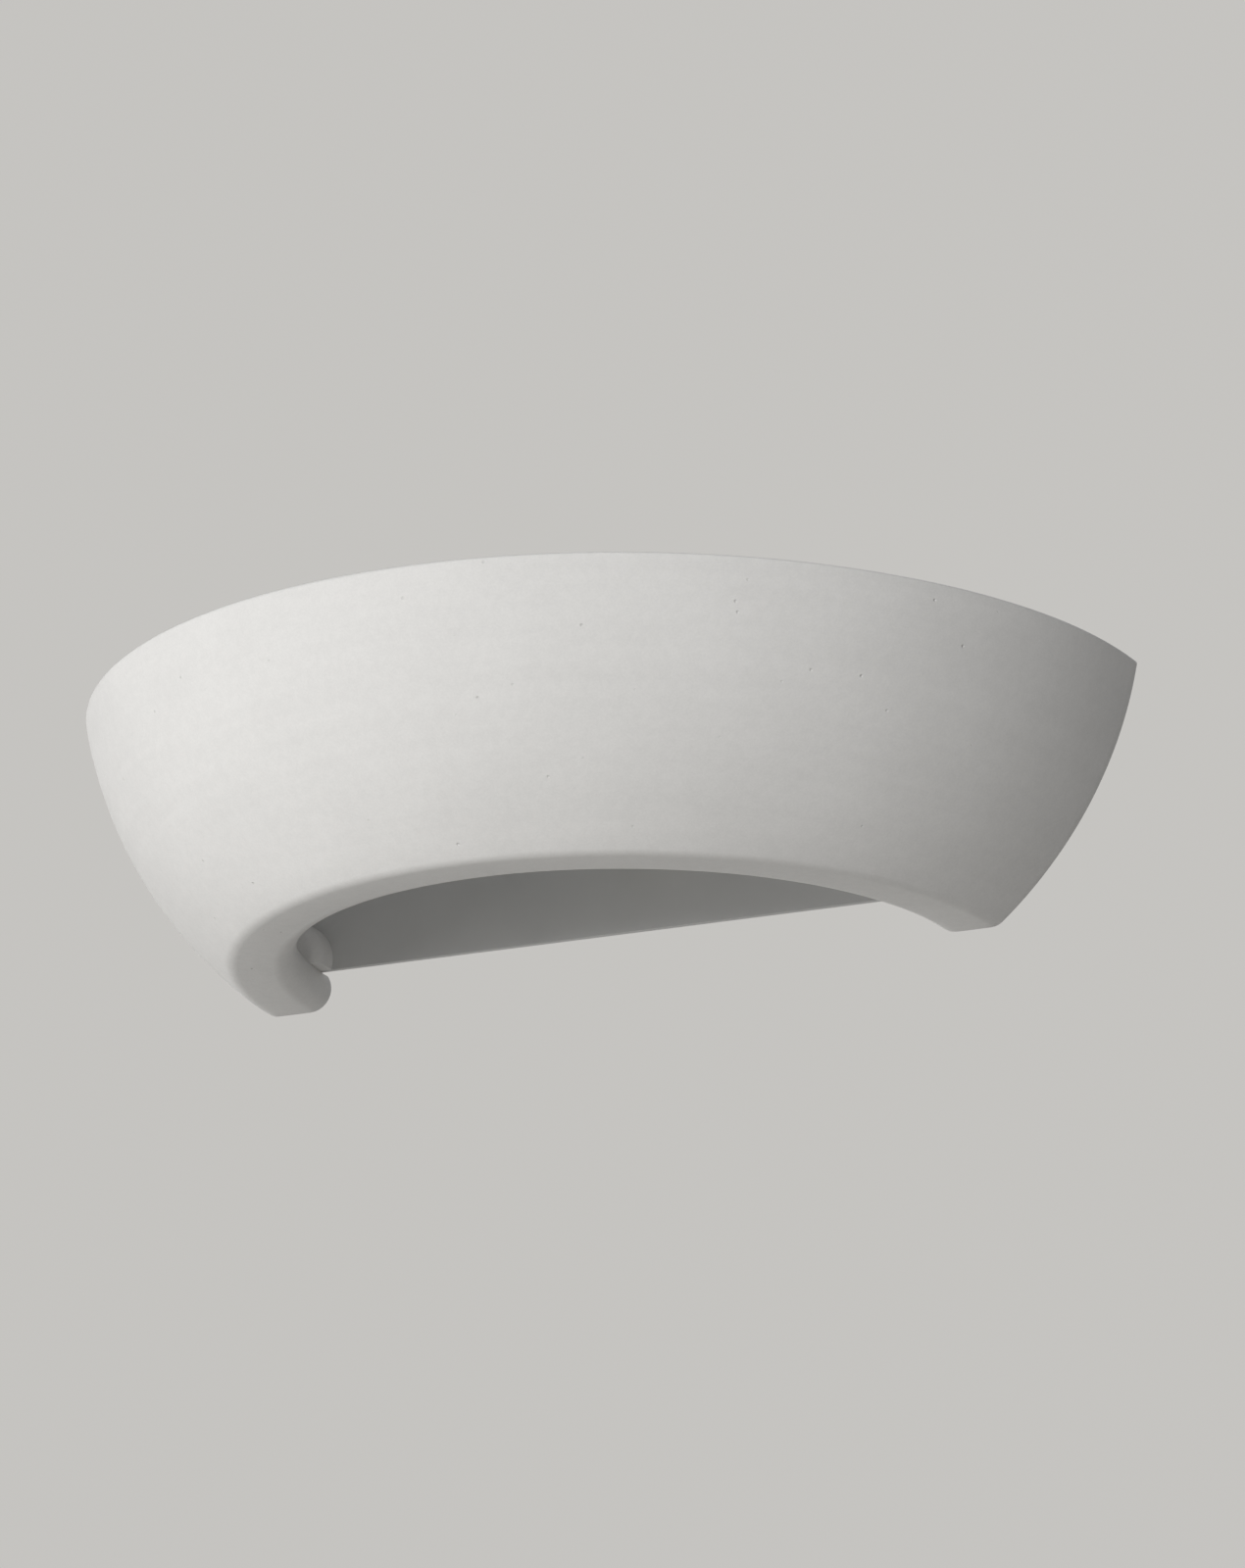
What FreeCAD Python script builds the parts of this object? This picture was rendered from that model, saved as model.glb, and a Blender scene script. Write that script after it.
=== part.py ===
import FreeCAD, Part
import math
import os
import re
import Sketcher
from FreeCAD import Placement, Rotation, Vector

# Uplighter wall sconce. A half-round shell of matt white plaster stands against the wall like a
# slice of a bowl, open above and below. A white steel plate closes its back, hangs it on two wall
# screws and carries an E27 lampholder on a bracket, with the lamp lying level inside the shell.
#
# Frame, in millimetres: the wall is the plane y = 0 and the sconce stands out of it towards -Y,
# +X is to the right and +Z is up. The origin lies on the wall, midway between the two wall screws.
# Heights below are counted from the shell's underside; every Placement then lowers its piece so
# that the screw line is at z = 0.

SIZES = {
    # The shell: a half ring with a thick bowed section.
    "top_radius": 175.6,
    "foot_radius": 127.1,
    "shell_height": 81.5,
    "shell_bulge": 8.6,
    "shell_wall": 21.7,
    "lip_round": 7.5,
    "foot_edge_round": 5.0,
    "rim_edge_round": 3.0,
    "rim_inner_round": 4.0,
    # The lugs inside its two ends, which hold the threaded inserts.
    "lug_radius": 11.7,
    "lug_depth": 10.0,
    "lug_bevel": 3.0,
    "lug_inset": 3.2,
    "low_lug_height": 17.5,
    "high_lug_drop": 19.5,
    "insert_radius": 3.2,
    "insert_length": 9.0,
    # The steel plate across its back.
    "plate_sheet": 2.0,
    "plate_setback": 4.0,
    "plate_rise": 12.0,
    "plate_drop": 9.5,
    "plate_margin": 0.65,
    "rebate_gap": 0.4,
    "screw_line_height": 48.0,
    "slot_spacing": 150.0,
    "slot_length": 14.0,
    "slot_width": 5.2,
    "pad_length": 30.0,
    "pad_height": 18.0,
    # The M4 screws, washers and nuts, and the gap left in each thread and hole.
    "thread_radius": 2.0,
    "thread_gap": 0.05,
    "hole_gap": 0.25,
    "screw_reach": 7.0,
    "head_radius": 3.8,
    "head_height": 2.4,
    "washer_radius": 4.4,
    "washer_sheet": 0.8,
    "nut_flats": 7.0,
    "nut_height": 3.2,
    # The bracket that carries the lampholder.
    "bracket_sheet": 1.5,
    "bracket_height": 18.0,
    "bracket_bend": 1.5,
    "bracket_foot": 28.0,
    "stud_first": 10.0,
    "stud_spacing": 12.0,
    "stud_length": 8.0,
    # The lamp's axis: level, along X.
    "lamp_depth": 72.0,
    "lamp_height": 48.0,
    "holder_seat": 62.0,
    # The lampholder: hollow nipple, locknut, cap, core, contacts and skirt.
    "nipple_radius": 5.0,
    "nipple_bore": 3.5,
    "nipple_reach": 7.0,
    "locknut_flats": 14.0,
    "locknut_height": 3.0,
    "cap_neck_radius": 13.0,
    "cap_length": 14.0,
    "cap_floor": 7.0,
    "holder_radius": 20.0,
    "holder_wall": 2.5,
    "skirt_length": 42.0,
    "core_length": 14.0,
    "core_gap": 0.3,
    "sleeve_bore": 13.6,
    "sleeve_sheet": 0.6,
    "sleeve_length": 26.0,
    "contact_rise": 4.0,
    "contact_sheet": 0.5,
    "contact_width": 6.0,
    "contact_span": 10.0,
    "terminal_radius": 2.2,
    "terminal_offset": 9.0,
    "terminal_depth": 5.0,
    # The lamp, an LED bulb with an E27 cap.
    "contact_gap": 0.3,
    "button_radius": 4.8,
    "button_height": 1.5,
    "insulator_radius": 11.5,
    "insulator_height": 4.5,
    "lamp_cap_radius": 13.2,
    "lamp_cap_length": 20.0,
    "lamp_cap_sheet": 0.4,
    "housing_neck": 13.6,
    "housing_length": 33.7,
    "housing_wall": 1.8,
    "globe_radius": 27.5,
    "globe_offset": 10.5,
    "globe_wall": 1.2,
    "board_gap": 0.1,
    "board_ledge": 2.7,
    "board_sheet": 1.6,
    "chip_count": 8.0,
    "chip_circle": 15.0,
    "chip_width": 3.0,
    "chip_height": 0.8,
    # The cable's way in and the terminal block.
    "entry_place": 46.0,
    "entry_height": 50.0,
    "entry_bore": 4.5,
    "grommet_neck": 8.0,
    "grommet_radius": 11.0,
    "grommet_lip": 1.8,
    "block_place": 10.0,
    "block_width": 16.0,
    "block_depth": 14.0,
    "block_base": 36.0,
    "pole_pitch": 10.0,
    "pole_radius": 2.4,
    "pole_wall": 0.7,
    "clamp_radius": 1.5,
    "clamp_sink": 1.0,
    "clamp_inset": 4.0,
    "fixing_radius": 1.5,
    "fixing_head": 2.8,
    "fixing_tail": 2.5,
    "fixing_sink": 3.5,
    # The earth stud and its ring terminal.
    "earth_place": 24.0,
    "earth_height": 46.0,
    "ring_radius": 4.0,
    "ring_sheet": 0.8,
    "barrel_radius": 1.7,
    "barrel_length": 6.0,
    "barrel_start": 5.0,
    # The wires inside, over their insulation.
    "wire_radius": 1.1,
    "wire_pair_offset": 1.5,
}

doc = FreeCAD.newDocument("WallSconce")
sheet = doc.addObject("Spreadsheet::Sheet", "Sizes")
for row, (alias, value) in enumerate(SIZES.items(), start=1):
    sheet.set(f"A{row}", alias)
    sheet.set(f"B{row}", str(value))
    sheet.setAlias(f"B{row}", alias)
doc.recompute()


def cells(expression):
    """An expression with each alias in it spelled out as a reference to the sheet."""
    return re.sub(r"[a-z_]+", lambda word: f"Sizes.{word[0]}" if word[0] in SIZES else word[0], expression)


def value(expression):
    """What an expression of the sheet's sizes comes to."""
    return float(sheet.evalExpression(cells(expression)))


# Places that several sub-parts share, as expressions of the sheet's sizes.

CHORD = "sqrt((top_radius - foot_radius)^2 + shell_height^2)"
ARC_RADIUS = f"(({CHORD})^2 / 4 + shell_bulge^2) / (2 * shell_bulge)"
ARC_AWAY = f"(({ARC_RADIUS} - shell_bulge) / {CHORD})"
ARC_CENTRE_R = f"((top_radius + foot_radius) / 2 - {ARC_AWAY} * shell_height)"
ARC_CENTRE_Z = f"(shell_height / 2 + {ARC_AWAY} * (top_radius - foot_radius))"
INNER_ARC_RADIUS = f"({ARC_RADIUS} - shell_wall)"


def inner_radius(height):
    """The shell's inner radius at a height above its underside."""
    return f"({ARC_CENTRE_R} + sqrt({INNER_ARC_RADIUS}^2 - ({ARC_CENTRE_Z} - ({height}))^2))"


PLATE_BACK = "-plate_setback"
PLATE_FRONT = "-(plate_setback + plate_sheet)"
PLATE_TOP = "(shell_height - plate_drop)"
HIGH_LUG_HEIGHT = "(shell_height - high_lug_drop)"
LUG_LEAN = (
    f"(({inner_radius(HIGH_LUG_HEIGHT)} - {inner_radius('low_lug_height')})"
    f" / ({HIGH_LUG_HEIGHT} - low_lug_height))"
)
LUG_PLACES = [
    (side, f"({inner_radius(height)} + lug_inset)", height)
    for side in (-1, 1)
    for height in ("low_lug_height", HIGH_LUG_HEIGHT)
]
LAMP_AXIS = ("-lamp_depth", "lamp_height", "right")
ARM_FACE = "-holder_seat"
ARM_BACK = "-(holder_seat + bracket_sheet)"
CAP_END = "(cap_length - holder_seat)"
CORE_FACE = f"({CAP_END} + core_length - holder_wall)"
BUTTON_TIP = f"({CORE_FACE} + contact_rise + contact_gap)"
LAMP_CAP_START = f"({BUTTON_TIP} + button_height + insulator_height)"
HOUSING_START = f"({LAMP_CAP_START} + lamp_cap_length)"
HOUSING_END = f"({HOUSING_START} + housing_length)"
GLOBE_CENTRE = f"({HOUSING_END} + globe_offset)"
GLOBE_EDGE = "sqrt(globe_radius^2 - globe_offset^2)"
POLE_Y = f"({PLATE_FRONT} - block_depth / 2)"

# Builders for the plain pieces. Each takes its sizes and its place as expressions.

FACINGS = {
    "up": Rotation(),
    "right": Rotation(Vector(0, 1, 0), 90),
    "front": Rotation(Vector(1, 0, 0), 90),
    "bend": Rotation(Vector(0, 0, 1), 90),
}


def bind(thing, **expressions):
    for name, expression in expressions.items():
        thing.setExpression(name, cells(expression))
    return thing


def place(thing, x, y, z, facing="up"):
    """Put a piece at a place whose height is counted from the shell's underside."""
    thing.Placement = Placement(Vector(), FACINGS[facing])
    for axis, expression in zip("xyz", (x, y, f"{z} - screw_line_height")):
        thing.setExpression(f"Placement.Base.{axis}", cells(expression))
    return thing


def box(name, x, y, z):
    """A box between two places on each axis."""
    thing = doc.addObject("Part::Box", name)
    lows = [low for low, high in (x, y, z)]
    bind(thing, **{
        side: f"({high}) - ({low})"
        for side, (low, high) in zip(("Length", "Width", "Height"), (x, y, z))
    })
    return place(thing, *lows)


def rod(name, radius, length, x, y, z, facing="up"):
    thing = bind(doc.addObject("Part::Cylinder", name), Radius=radius, Height=length)
    return place(thing, x, y, z, facing)


def cone(name, start, end, length, x, y, z, facing="up"):
    thing = bind(doc.addObject("Part::Cone", name), Radius1=start, Radius2=end, Height=length)
    return place(thing, x, y, z, facing)


def ball(name, radius, x, y, z, facing="up"):
    return place(bind(doc.addObject("Part::Sphere", name), Radius=radius), x, y, z, facing)


def hexagon(name, flats, length, x, y, z, facing="up"):
    thing = doc.addObject("Part::Prism", name)
    thing.Polygon = 6
    bind(thing, Circumradius=f"{flats} / sqrt(3)", Height=length)
    return place(thing, x, y, z, facing)


def fuse(name, *things):
    whole = doc.addObject("Part::MultiFuse", name)
    whole.Shapes = list(things)
    return whole


def cut(name, base, *tools):
    result = doc.addObject("Part::Cut", name)
    result.Base = base
    result.Tool = tools[0] if len(tools) == 1 else fuse(name + "Tools", *tools)
    return result


def group(name, things):
    """Separate like pieces that share one node."""
    whole = doc.addObject("Part::Compound", name)
    whole.Links = list(things)
    return whole


def origin_plane(body, role):
    return next(item for item in body.Origin.OriginFeatures if item.Role == role)


def sketch_on(body, role, name):
    sketch = body.newObject("Sketcher::SketchObject", name)
    sketch.AttachmentSupport = [(origin_plane(body, role), "")]
    sketch.MapMode = "FlatFace"
    return sketch


def constrain(sketch, kind, *where, name=None, to=None):
    """One constraint; with a name, its value is bound to an expression."""
    if name is None:
        sketch.addConstraint(Sketcher.Constraint(kind, *where))
        return
    index = sketch.addConstraint(Sketcher.Constraint(kind, *where, value(to)))
    sketch.renameConstraint(index, name)
    sketch.setExpression(f"Constraints.{name}", cells(to))


def outline(sketch, corners):
    """A closed outline of straight lines through corners given as pairs of expressions."""
    count = len(corners)
    points = [Vector(value(across), value(along), 0) for across, along in corners]
    for i in range(count):
        sketch.addGeometry(Part.LineSegment(points[i], points[(i + 1) % count]))
    for i in range(count):
        constrain(sketch, "Coincident", i, 2, (i + 1) % count, 1)
    for i, (across, along) in enumerate(corners):
        for kind, axis, expression in (("DistanceX", -2, across), ("DistanceY", -1, along)):
            if expression == "0":
                constrain(sketch, "PointOnObject", i, 1, axis)
            else:
                constrain(sketch, kind, -1, 1, i, 1, name=f"{kind[-1]}{i}", to=expression)


def turned(name, corners, x, y, z, facing="up"):
    """A lathe-turned piece: its corners are (radius, distance along the axis)."""
    body = doc.addObject("PartDesign::Body", name)
    section = sketch_on(body, "XZ_Plane", name + "Section")
    outline(section, corners)
    turning = body.newObject("PartDesign::Revolution", name + "Turning")
    turning.Profile = section
    turning.ReferenceAxis = (section, ["V_Axis"])
    turning.Angle = 360
    return place(body, x, y, z, facing)


def tube(name, bore, radius, length, x, y, z, facing="up"):
    corners = [(bore, "0"), (radius, "0"), (radius, length), (bore, length)]
    return turned(name, corners, x, y, z, facing)


def joined(name):
    """A node's name as one capitalised word."""
    return "".join(word.capitalize() for word in name.split("_"))


nodes = []


def node(name, thing):
    """Label a finished sub-part with its own name and keep it for export."""
    thing.Label = name
    nodes.append(thing)


# The shell.


def shell_section(body):
    """The shell's section: two bowed faces about one centre, a flat foot and rim, a round lip."""
    sketch = sketch_on(body, "XZ_Plane", "ShellSection")
    centre = Vector(value(ARC_CENTRE_R), value(ARC_CENTRE_Z), 0)
    outer, inner, lip = value(ARC_RADIUS), value(INNER_ARC_RADIUS), value("lip_round")
    drop = centre.y - lip
    lip_centre = Vector(centre.x + math.sqrt((inner + lip) ** 2 - drop**2), lip, 0)
    lip_angle = math.atan2(drop, centre.x - lip_centre.x)

    def arc(middle, radius, start, end):
        circle = Part.Circle(middle, Vector(0, 0, 1), radius)
        return sketch.addGeometry(Part.ArcOfCircle(circle, start, end))

    def rim_angle(radius):
        return math.asin((value("shell_height") - centre.y) / radius)

    outer_face = arc(centre, outer, math.asin(-centre.y / outer), rim_angle(outer))
    inner_face = arc(centre, inner, lip_angle - math.pi, rim_angle(inner))
    lip_face = arc(lip_centre, lip, lip_angle, 1.5 * math.pi)
    outer_rim = sketch.getPoint(outer_face, 2)
    rim = sketch.addGeometry(Part.LineSegment(outer_rim, sketch.getPoint(inner_face, 2)))
    foot_start = sketch.getPoint(lip_face, 2)
    foot = sketch.addGeometry(Part.LineSegment(foot_start, sketch.getPoint(outer_face, 1)))

    constrain(sketch, "Coincident", outer_face, 2, rim, 1)
    constrain(sketch, "Coincident", rim, 2, inner_face, 2)
    constrain(sketch, "Coincident", foot, 2, outer_face, 1)
    constrain(sketch, "Coincident", outer_face, 3, inner_face, 3)
    constrain(sketch, "Tangent", inner_face, 1, lip_face, 1)
    constrain(sketch, "Tangent", lip_face, 2, foot, 1)
    constrain(sketch, "PointOnObject", foot, 1, -1)
    constrain(sketch, "PointOnObject", foot, 2, -1)
    constrain(sketch, "Horizontal", rim)
    constrain(sketch, "DistanceX", -1, 1, outer_face, 1, name="FootRadius", to="foot_radius")
    constrain(sketch, "DistanceX", -1, 1, outer_face, 2, name="TopRadius", to="top_radius")
    constrain(sketch, "DistanceY", -1, 1, outer_face, 2, name="Height", to="shell_height")
    constrain(sketch, "Radius", outer_face, name="OuterArc", to=ARC_RADIUS)
    constrain(sketch, "Radius", inner_face, name="InnerArc", to=INNER_ARC_RADIUS)
    constrain(sketch, "Radius", lip_face, name="Lip", to="lip_round")
    return sketch


def edge_names(shape, radius, height):
    """The round edges of a radius about the Z axis at a height."""
    return [
        f"Edge{number}"
        for number, edge in enumerate(shape.Edges, start=1)
        if isinstance(edge.Curve, Part.Circle)
        and abs(edge.Curve.Radius - radius) < 1e-3
        and abs(edge.Curve.Center.z - height) < 1e-3
    ]


def shell_body():
    body = doc.addObject("PartDesign::Body", "ShellBody")
    section = shell_section(body)
    turning = body.newObject("PartDesign::Revolution", "ShellTurning")
    turning.Profile = section
    turning.ReferenceAxis = (section, ["V_Axis"])
    turning.Angle = 180
    turning.Reversed = True
    doc.recompute()
    rounds = (
        ("FootEdge", "foot_radius", "0", "foot_edge_round"),
        ("RimEdge", "top_radius", "shell_height", "rim_edge_round"),
        ("RimInnerEdge", inner_radius("shell_height"), "shell_height", "rim_inner_round"),
    )
    for name, radius, height, amount in rounds:
        sharp = body.Tip
        rounding = body.newObject("PartDesign::Fillet", name)
        rounding.Base = (sharp, edge_names(sharp.Shape, value(radius), value(height)))
        bind(rounding, Radius=amount)
        doc.recompute()
    return place(body, "0", "0", "0")


def plate_edge(height, margin):
    """Half the plate's width at a height. Its edge runs beside the lugs and clears their washers."""
    lug = f"({inner_radius('low_lug_height')} + lug_inset + {LUG_LEAN} * ({height} - low_lug_height))"
    return f"({lug} + (washer_radius + plate_margin + {margin}) * sqrt(1 + {LUG_LEAN}^2))"


def plate_blank(name, margin, thickness, back):
    """A flat blank that widens upwards with the shell, from its back plane forwards."""
    low = f"(plate_rise - {margin})"
    high = f"({PLATE_TOP} + {margin})"
    low_edge = plate_edge(low, margin)
    high_edge = plate_edge(high, margin)
    body = doc.addObject("PartDesign::Body", name)
    face = sketch_on(body, "XZ_Plane", name + "Outline")
    outline(face, [
        (f"-{low_edge}", low),
        (low_edge, low),
        (high_edge, high),
        (f"-{high_edge}", high),
    ])
    pad = body.newObject("PartDesign::Pad", name + "Pad")
    pad.Profile = face
    bind(pad, Length=thickness)
    return place(body, "0", back, "0")


def shell():
    lugs = []
    insert_holes = []
    for number, (side, across, height) in enumerate(LUG_PLACES, start=1):
        x = f"{side} * {across}"
        straight = f"(lug_depth - lug_bevel - {PLATE_FRONT})"
        base = rod(f"LugBase{number}", "lug_radius", straight, x, "0", height, "front")
        bevel = cone(
            f"LugBevel{number}", "lug_radius", "lug_radius - lug_bevel", "lug_bevel",
            x, f"-{straight}", height, "front",
        )
        lugs += [base, bevel]
        insert_holes.append(rod(
            f"InsertHole{number}", "insert_radius", "insert_length", x, PLATE_FRONT, height, "front",
        ))
    reach = "(top_radius + lug_radius)"
    below = box("BelowPlate", (f"-{reach}", reach), (f"-{reach}", "0"), ("-lug_radius", "plate_rise"))
    trimmed_lugs = cut("TrimmedLugs", fuse("Lugs", *lugs), below)
    rebate = plate_blank("Rebate", "rebate_gap", f"-({PLATE_FRONT})", "0")
    whole = fuse("ShellAndLugs", shell_body(), trimmed_lugs)
    node("shell", cut("Shell", whole, rebate, *insert_holes))


def shell_fixings():
    """At each lug: a threaded insert, and a screw and washer that hold the plate from behind."""
    inserts, screws, washers = [], [], []
    for number, (side, across, height) in enumerate(LUG_PLACES, start=1):
        x = f"{side} * {across}"
        thread = "thread_radius + thread_gap"
        inserts.append(tube(
            f"Insert{number}", thread, "insert_radius", "insert_length", x, PLATE_FRONT, height, "front",
        ))
        washer_back = f"({PLATE_BACK} + washer_sheet)"
        washers.append(tube(
            f"ShellWasher{number}", thread, "washer_radius", "washer_sheet",
            x, washer_back, height, "front",
        ))
        screws.append(turned(
            f"ShellScrew{number}",
            [
                ("0", "0"),
                ("head_radius - 0.3 * head_height", "0"),
                ("head_radius", "0.5 * head_height"),
                ("head_radius", "head_height"),
                ("thread_radius", "head_height"),
                ("thread_radius", "head_height + washer_sheet + plate_sheet + screw_reach"),
                ("0", "head_height + washer_sheet + plate_sheet + screw_reach"),
            ],
            x, f"{washer_back} + head_height", height, "front",
        ))
    node("shell_inserts", group("ShellInserts", inserts))
    node("shell_washers", group("ShellWashers", washers))
    node("shell_screws", group("ShellScrews", screws))


# The wall plate.


def slot(name, x, z, depth):
    """A level slot through a pad's floor, made as a mill cuts it."""
    half = "(slot_length - slot_width) / 2"
    ends = [
        rod(f"{name}End{number}", "slot_width / 2", depth, f"{x} + {side} * {half}", "0", z, "front")
        for number, side in enumerate((-1, 1), start=1)
    ]
    run = (f"{x} - {half}", f"{x} + {half}")
    level = (f"{z} - slot_width / 2", f"{z} + slot_width / 2")
    return fuse(name, box(f"{name}Middle", run, (f"-{depth}", "0"), level), *ends)


def wall_plate():
    """A sheet with two pads pressed back to the wall, slotted for the wall screws."""
    blank = plate_blank("PlateSheet", "0", "plate_sheet", PLATE_BACK)
    pads, recesses, slots = [], [], []
    for name, side in (("Left", -1), ("Right", 1)):
        x = f"{side} * slot_spacing / 2"
        spans = []
        for wall in ("0", "plate_sheet"):
            half_length = f"(pad_length / 2 - {wall})"
            half_height = f"(pad_height / 2 - {wall})"
            spans.append((
                (f"{x} - {half_length}", f"{x} + {half_length}"),
                (f"screw_line_height - {half_height}", f"screw_line_height + {half_height}"),
            ))
        (outer_x, outer_z), (inner_x, inner_z) = spans
        pads.append(box(f"Pad{name}", outer_x, (PLATE_BACK, "0"), outer_z))
        recesses.append(box(f"Recess{name}", inner_x, (PLATE_FRONT, "-plate_sheet"), inner_z))
        slots.append(slot(f"Slot{name}", x, "screw_line_height", "plate_sheet"))
    clear = "thread_radius + hole_gap"
    holes = [
        rod(f"LugHole{number}", clear, "plate_sheet", f"{side} * {across}", PLATE_BACK, height, "front")
        for number, (side, across, height) in enumerate(LUG_PLACES, start=1)
    ]
    holes.append(rod(
        "EntryHole", "grommet_neck", "plate_sheet", "entry_place", PLATE_BACK, "entry_height", "front",
    ))
    holes.append(rod(
        "FixingHole", "fixing_radius + thread_gap", "plate_sheet",
        "block_place + block_width / 2", PLATE_BACK, "block_base + pole_pitch", "front",
    ))
    padded = fuse("PaddedSheet", blank, *pads)
    node("wall_plate", cut("WallPlate", padded, *recesses, *slots, *holes))


def cable_grommet():
    half = "plate_sheet + grommet_lip"
    node("cable_grommet", turned(
        "CableGrommet",
        [
            ("entry_bore", "-grommet_lip"),
            ("grommet_radius", "-grommet_lip"),
            ("grommet_radius", "0"),
            ("grommet_neck", "0"),
            ("grommet_neck", "plate_sheet"),
            ("grommet_radius", "plate_sheet"),
            ("grommet_radius", half),
            ("entry_bore", half),
        ],
        "entry_place", PLATE_BACK, "entry_height", "front",
    ))


# The bracket and its fixings.

STUD_PLACES = [f"({ARM_FACE} + stud_first)", f"({ARM_FACE} + stud_first + stud_spacing)"]


def lamp_bracket():
    """A steel strip bent to an L: its foot on the plate, its round-ended arm square to the wall."""
    low = "lamp_height - bracket_height / 2"
    level = (low, f"{low} + bracket_height")
    outer_bend = "(bracket_bend + bracket_sheet)"
    bend_x = f"({ARM_BACK} + {outer_bend})"
    bend_y = f"({PLATE_FRONT} - {outer_bend})"
    on_plate = (f"{PLATE_FRONT} - bracket_sheet", PLATE_FRONT)
    foot = box("BracketFoot", (bend_x, f"{ARM_FACE} + bracket_foot"), on_plate, level)
    arm = box("BracketArm", (ARM_BACK, ARM_FACE), ("-lamp_depth", bend_y), level)
    end = rod("BracketEnd", "bracket_height / 2", "bracket_sheet", ARM_BACK, *LAMP_AXIS)
    bend_outside = rod("BendOutside", outer_bend, "bracket_height", bend_x, bend_y, low, "bend")
    bend_inside = rod("BendInside", "bracket_bend", "bracket_height", bend_x, bend_y, low, "bend")
    bend_outside.Angle = 90
    bend_inside.Angle = 90
    strip = fuse("BracketStrip", foot, arm, end, cut("BracketBend", bend_outside, bend_inside))
    clear = "thread_radius + hole_gap"
    holes = [
        rod(f"StudHole{number}", clear, "bracket_sheet", x, PLATE_FRONT, "lamp_height", "front")
        for number, x in enumerate(STUD_PLACES, start=1)
    ]
    holes.append(rod("NippleHole", "nipple_radius + hole_gap", "bracket_sheet", ARM_BACK, *LAMP_AXIS))
    node("lamp_bracket", cut("LampBracket", strip, *holes))


def nut(name, flats, height, thread, x, y, z, facing):
    """A hexagon nut with a plain bore."""
    blank = hexagon(name + "Blank", flats, height, x, y, z, facing)
    bore = rod(name + "Bore", f"{thread} + thread_gap", height, x, y, z, facing)
    return cut(name, blank, bore)


def bracket_fixings():
    washers, studs, nuts = [], [], []
    washer_y = f"{PLATE_FRONT} - bracket_sheet"
    nut_y = f"({washer_y} - washer_sheet)"
    thread = "thread_radius + thread_gap"
    for number, x in enumerate(STUD_PLACES, start=1):
        studs.append(rod(
            f"BracketStud{number}", "thread_radius", "stud_length",
            x, PLATE_FRONT, "lamp_height", "front",
        ))
        washers.append(tube(
            f"BracketWasher{number}", thread, "washer_radius", "washer_sheet",
            x, washer_y, "lamp_height", "front",
        ))
        nuts.append(nut(
            f"BracketNut{number}", "nut_flats", "nut_height", "thread_radius",
            x, nut_y, "lamp_height", "front",
        ))
    node("bracket_studs", group("BracketStuds", studs))
    node("bracket_washers", group("BracketWashers", washers))
    node("bracket_nuts", group("BracketNuts", nuts))


# The lampholder. Its pieces are turned about the lamp's axis.


def on_axis(name, corners, x):
    node(name, turned(joined(name), corners, x, *LAMP_AXIS))


def lampholder():
    back = "bracket_sheet + locknut_height"
    on_axis("holder_nipple", [
        ("nipple_bore", "0"),
        ("nipple_radius", "0"),
        ("nipple_radius", f"{back} + nipple_reach"),
        ("nipple_bore", f"{back} + nipple_reach"),
    ], f"{ARM_BACK} - locknut_height")
    node("holder_locknut", nut(
        "HolderLocknut", "locknut_flats", "locknut_height", "nipple_radius",
        f"{ARM_BACK} - locknut_height", *LAMP_AXIS,
    ))
    on_axis("holder_cap", [
        ("nipple_radius + thread_gap", "0"),
        ("cap_neck_radius", "0"),
        ("holder_radius", "cap_floor"),
        ("holder_radius", "cap_length"),
        ("holder_radius - holder_wall", "cap_length"),
        ("holder_radius - holder_wall", "cap_floor + holder_wall"),
        ("cap_neck_radius - holder_wall", "cap_floor"),
        ("nipple_radius + thread_gap", "cap_floor"),
    ], ARM_FACE)
    on_axis("holder_skirt", [
        ("holder_radius - holder_wall", "0"),
        ("holder_radius", "0"),
        ("holder_radius", "skirt_length - 2 * holder_wall"),
        ("holder_radius - holder_wall / 2", "skirt_length"),
        ("holder_radius - holder_wall", "skirt_length"),
    ], CAP_END)


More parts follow.
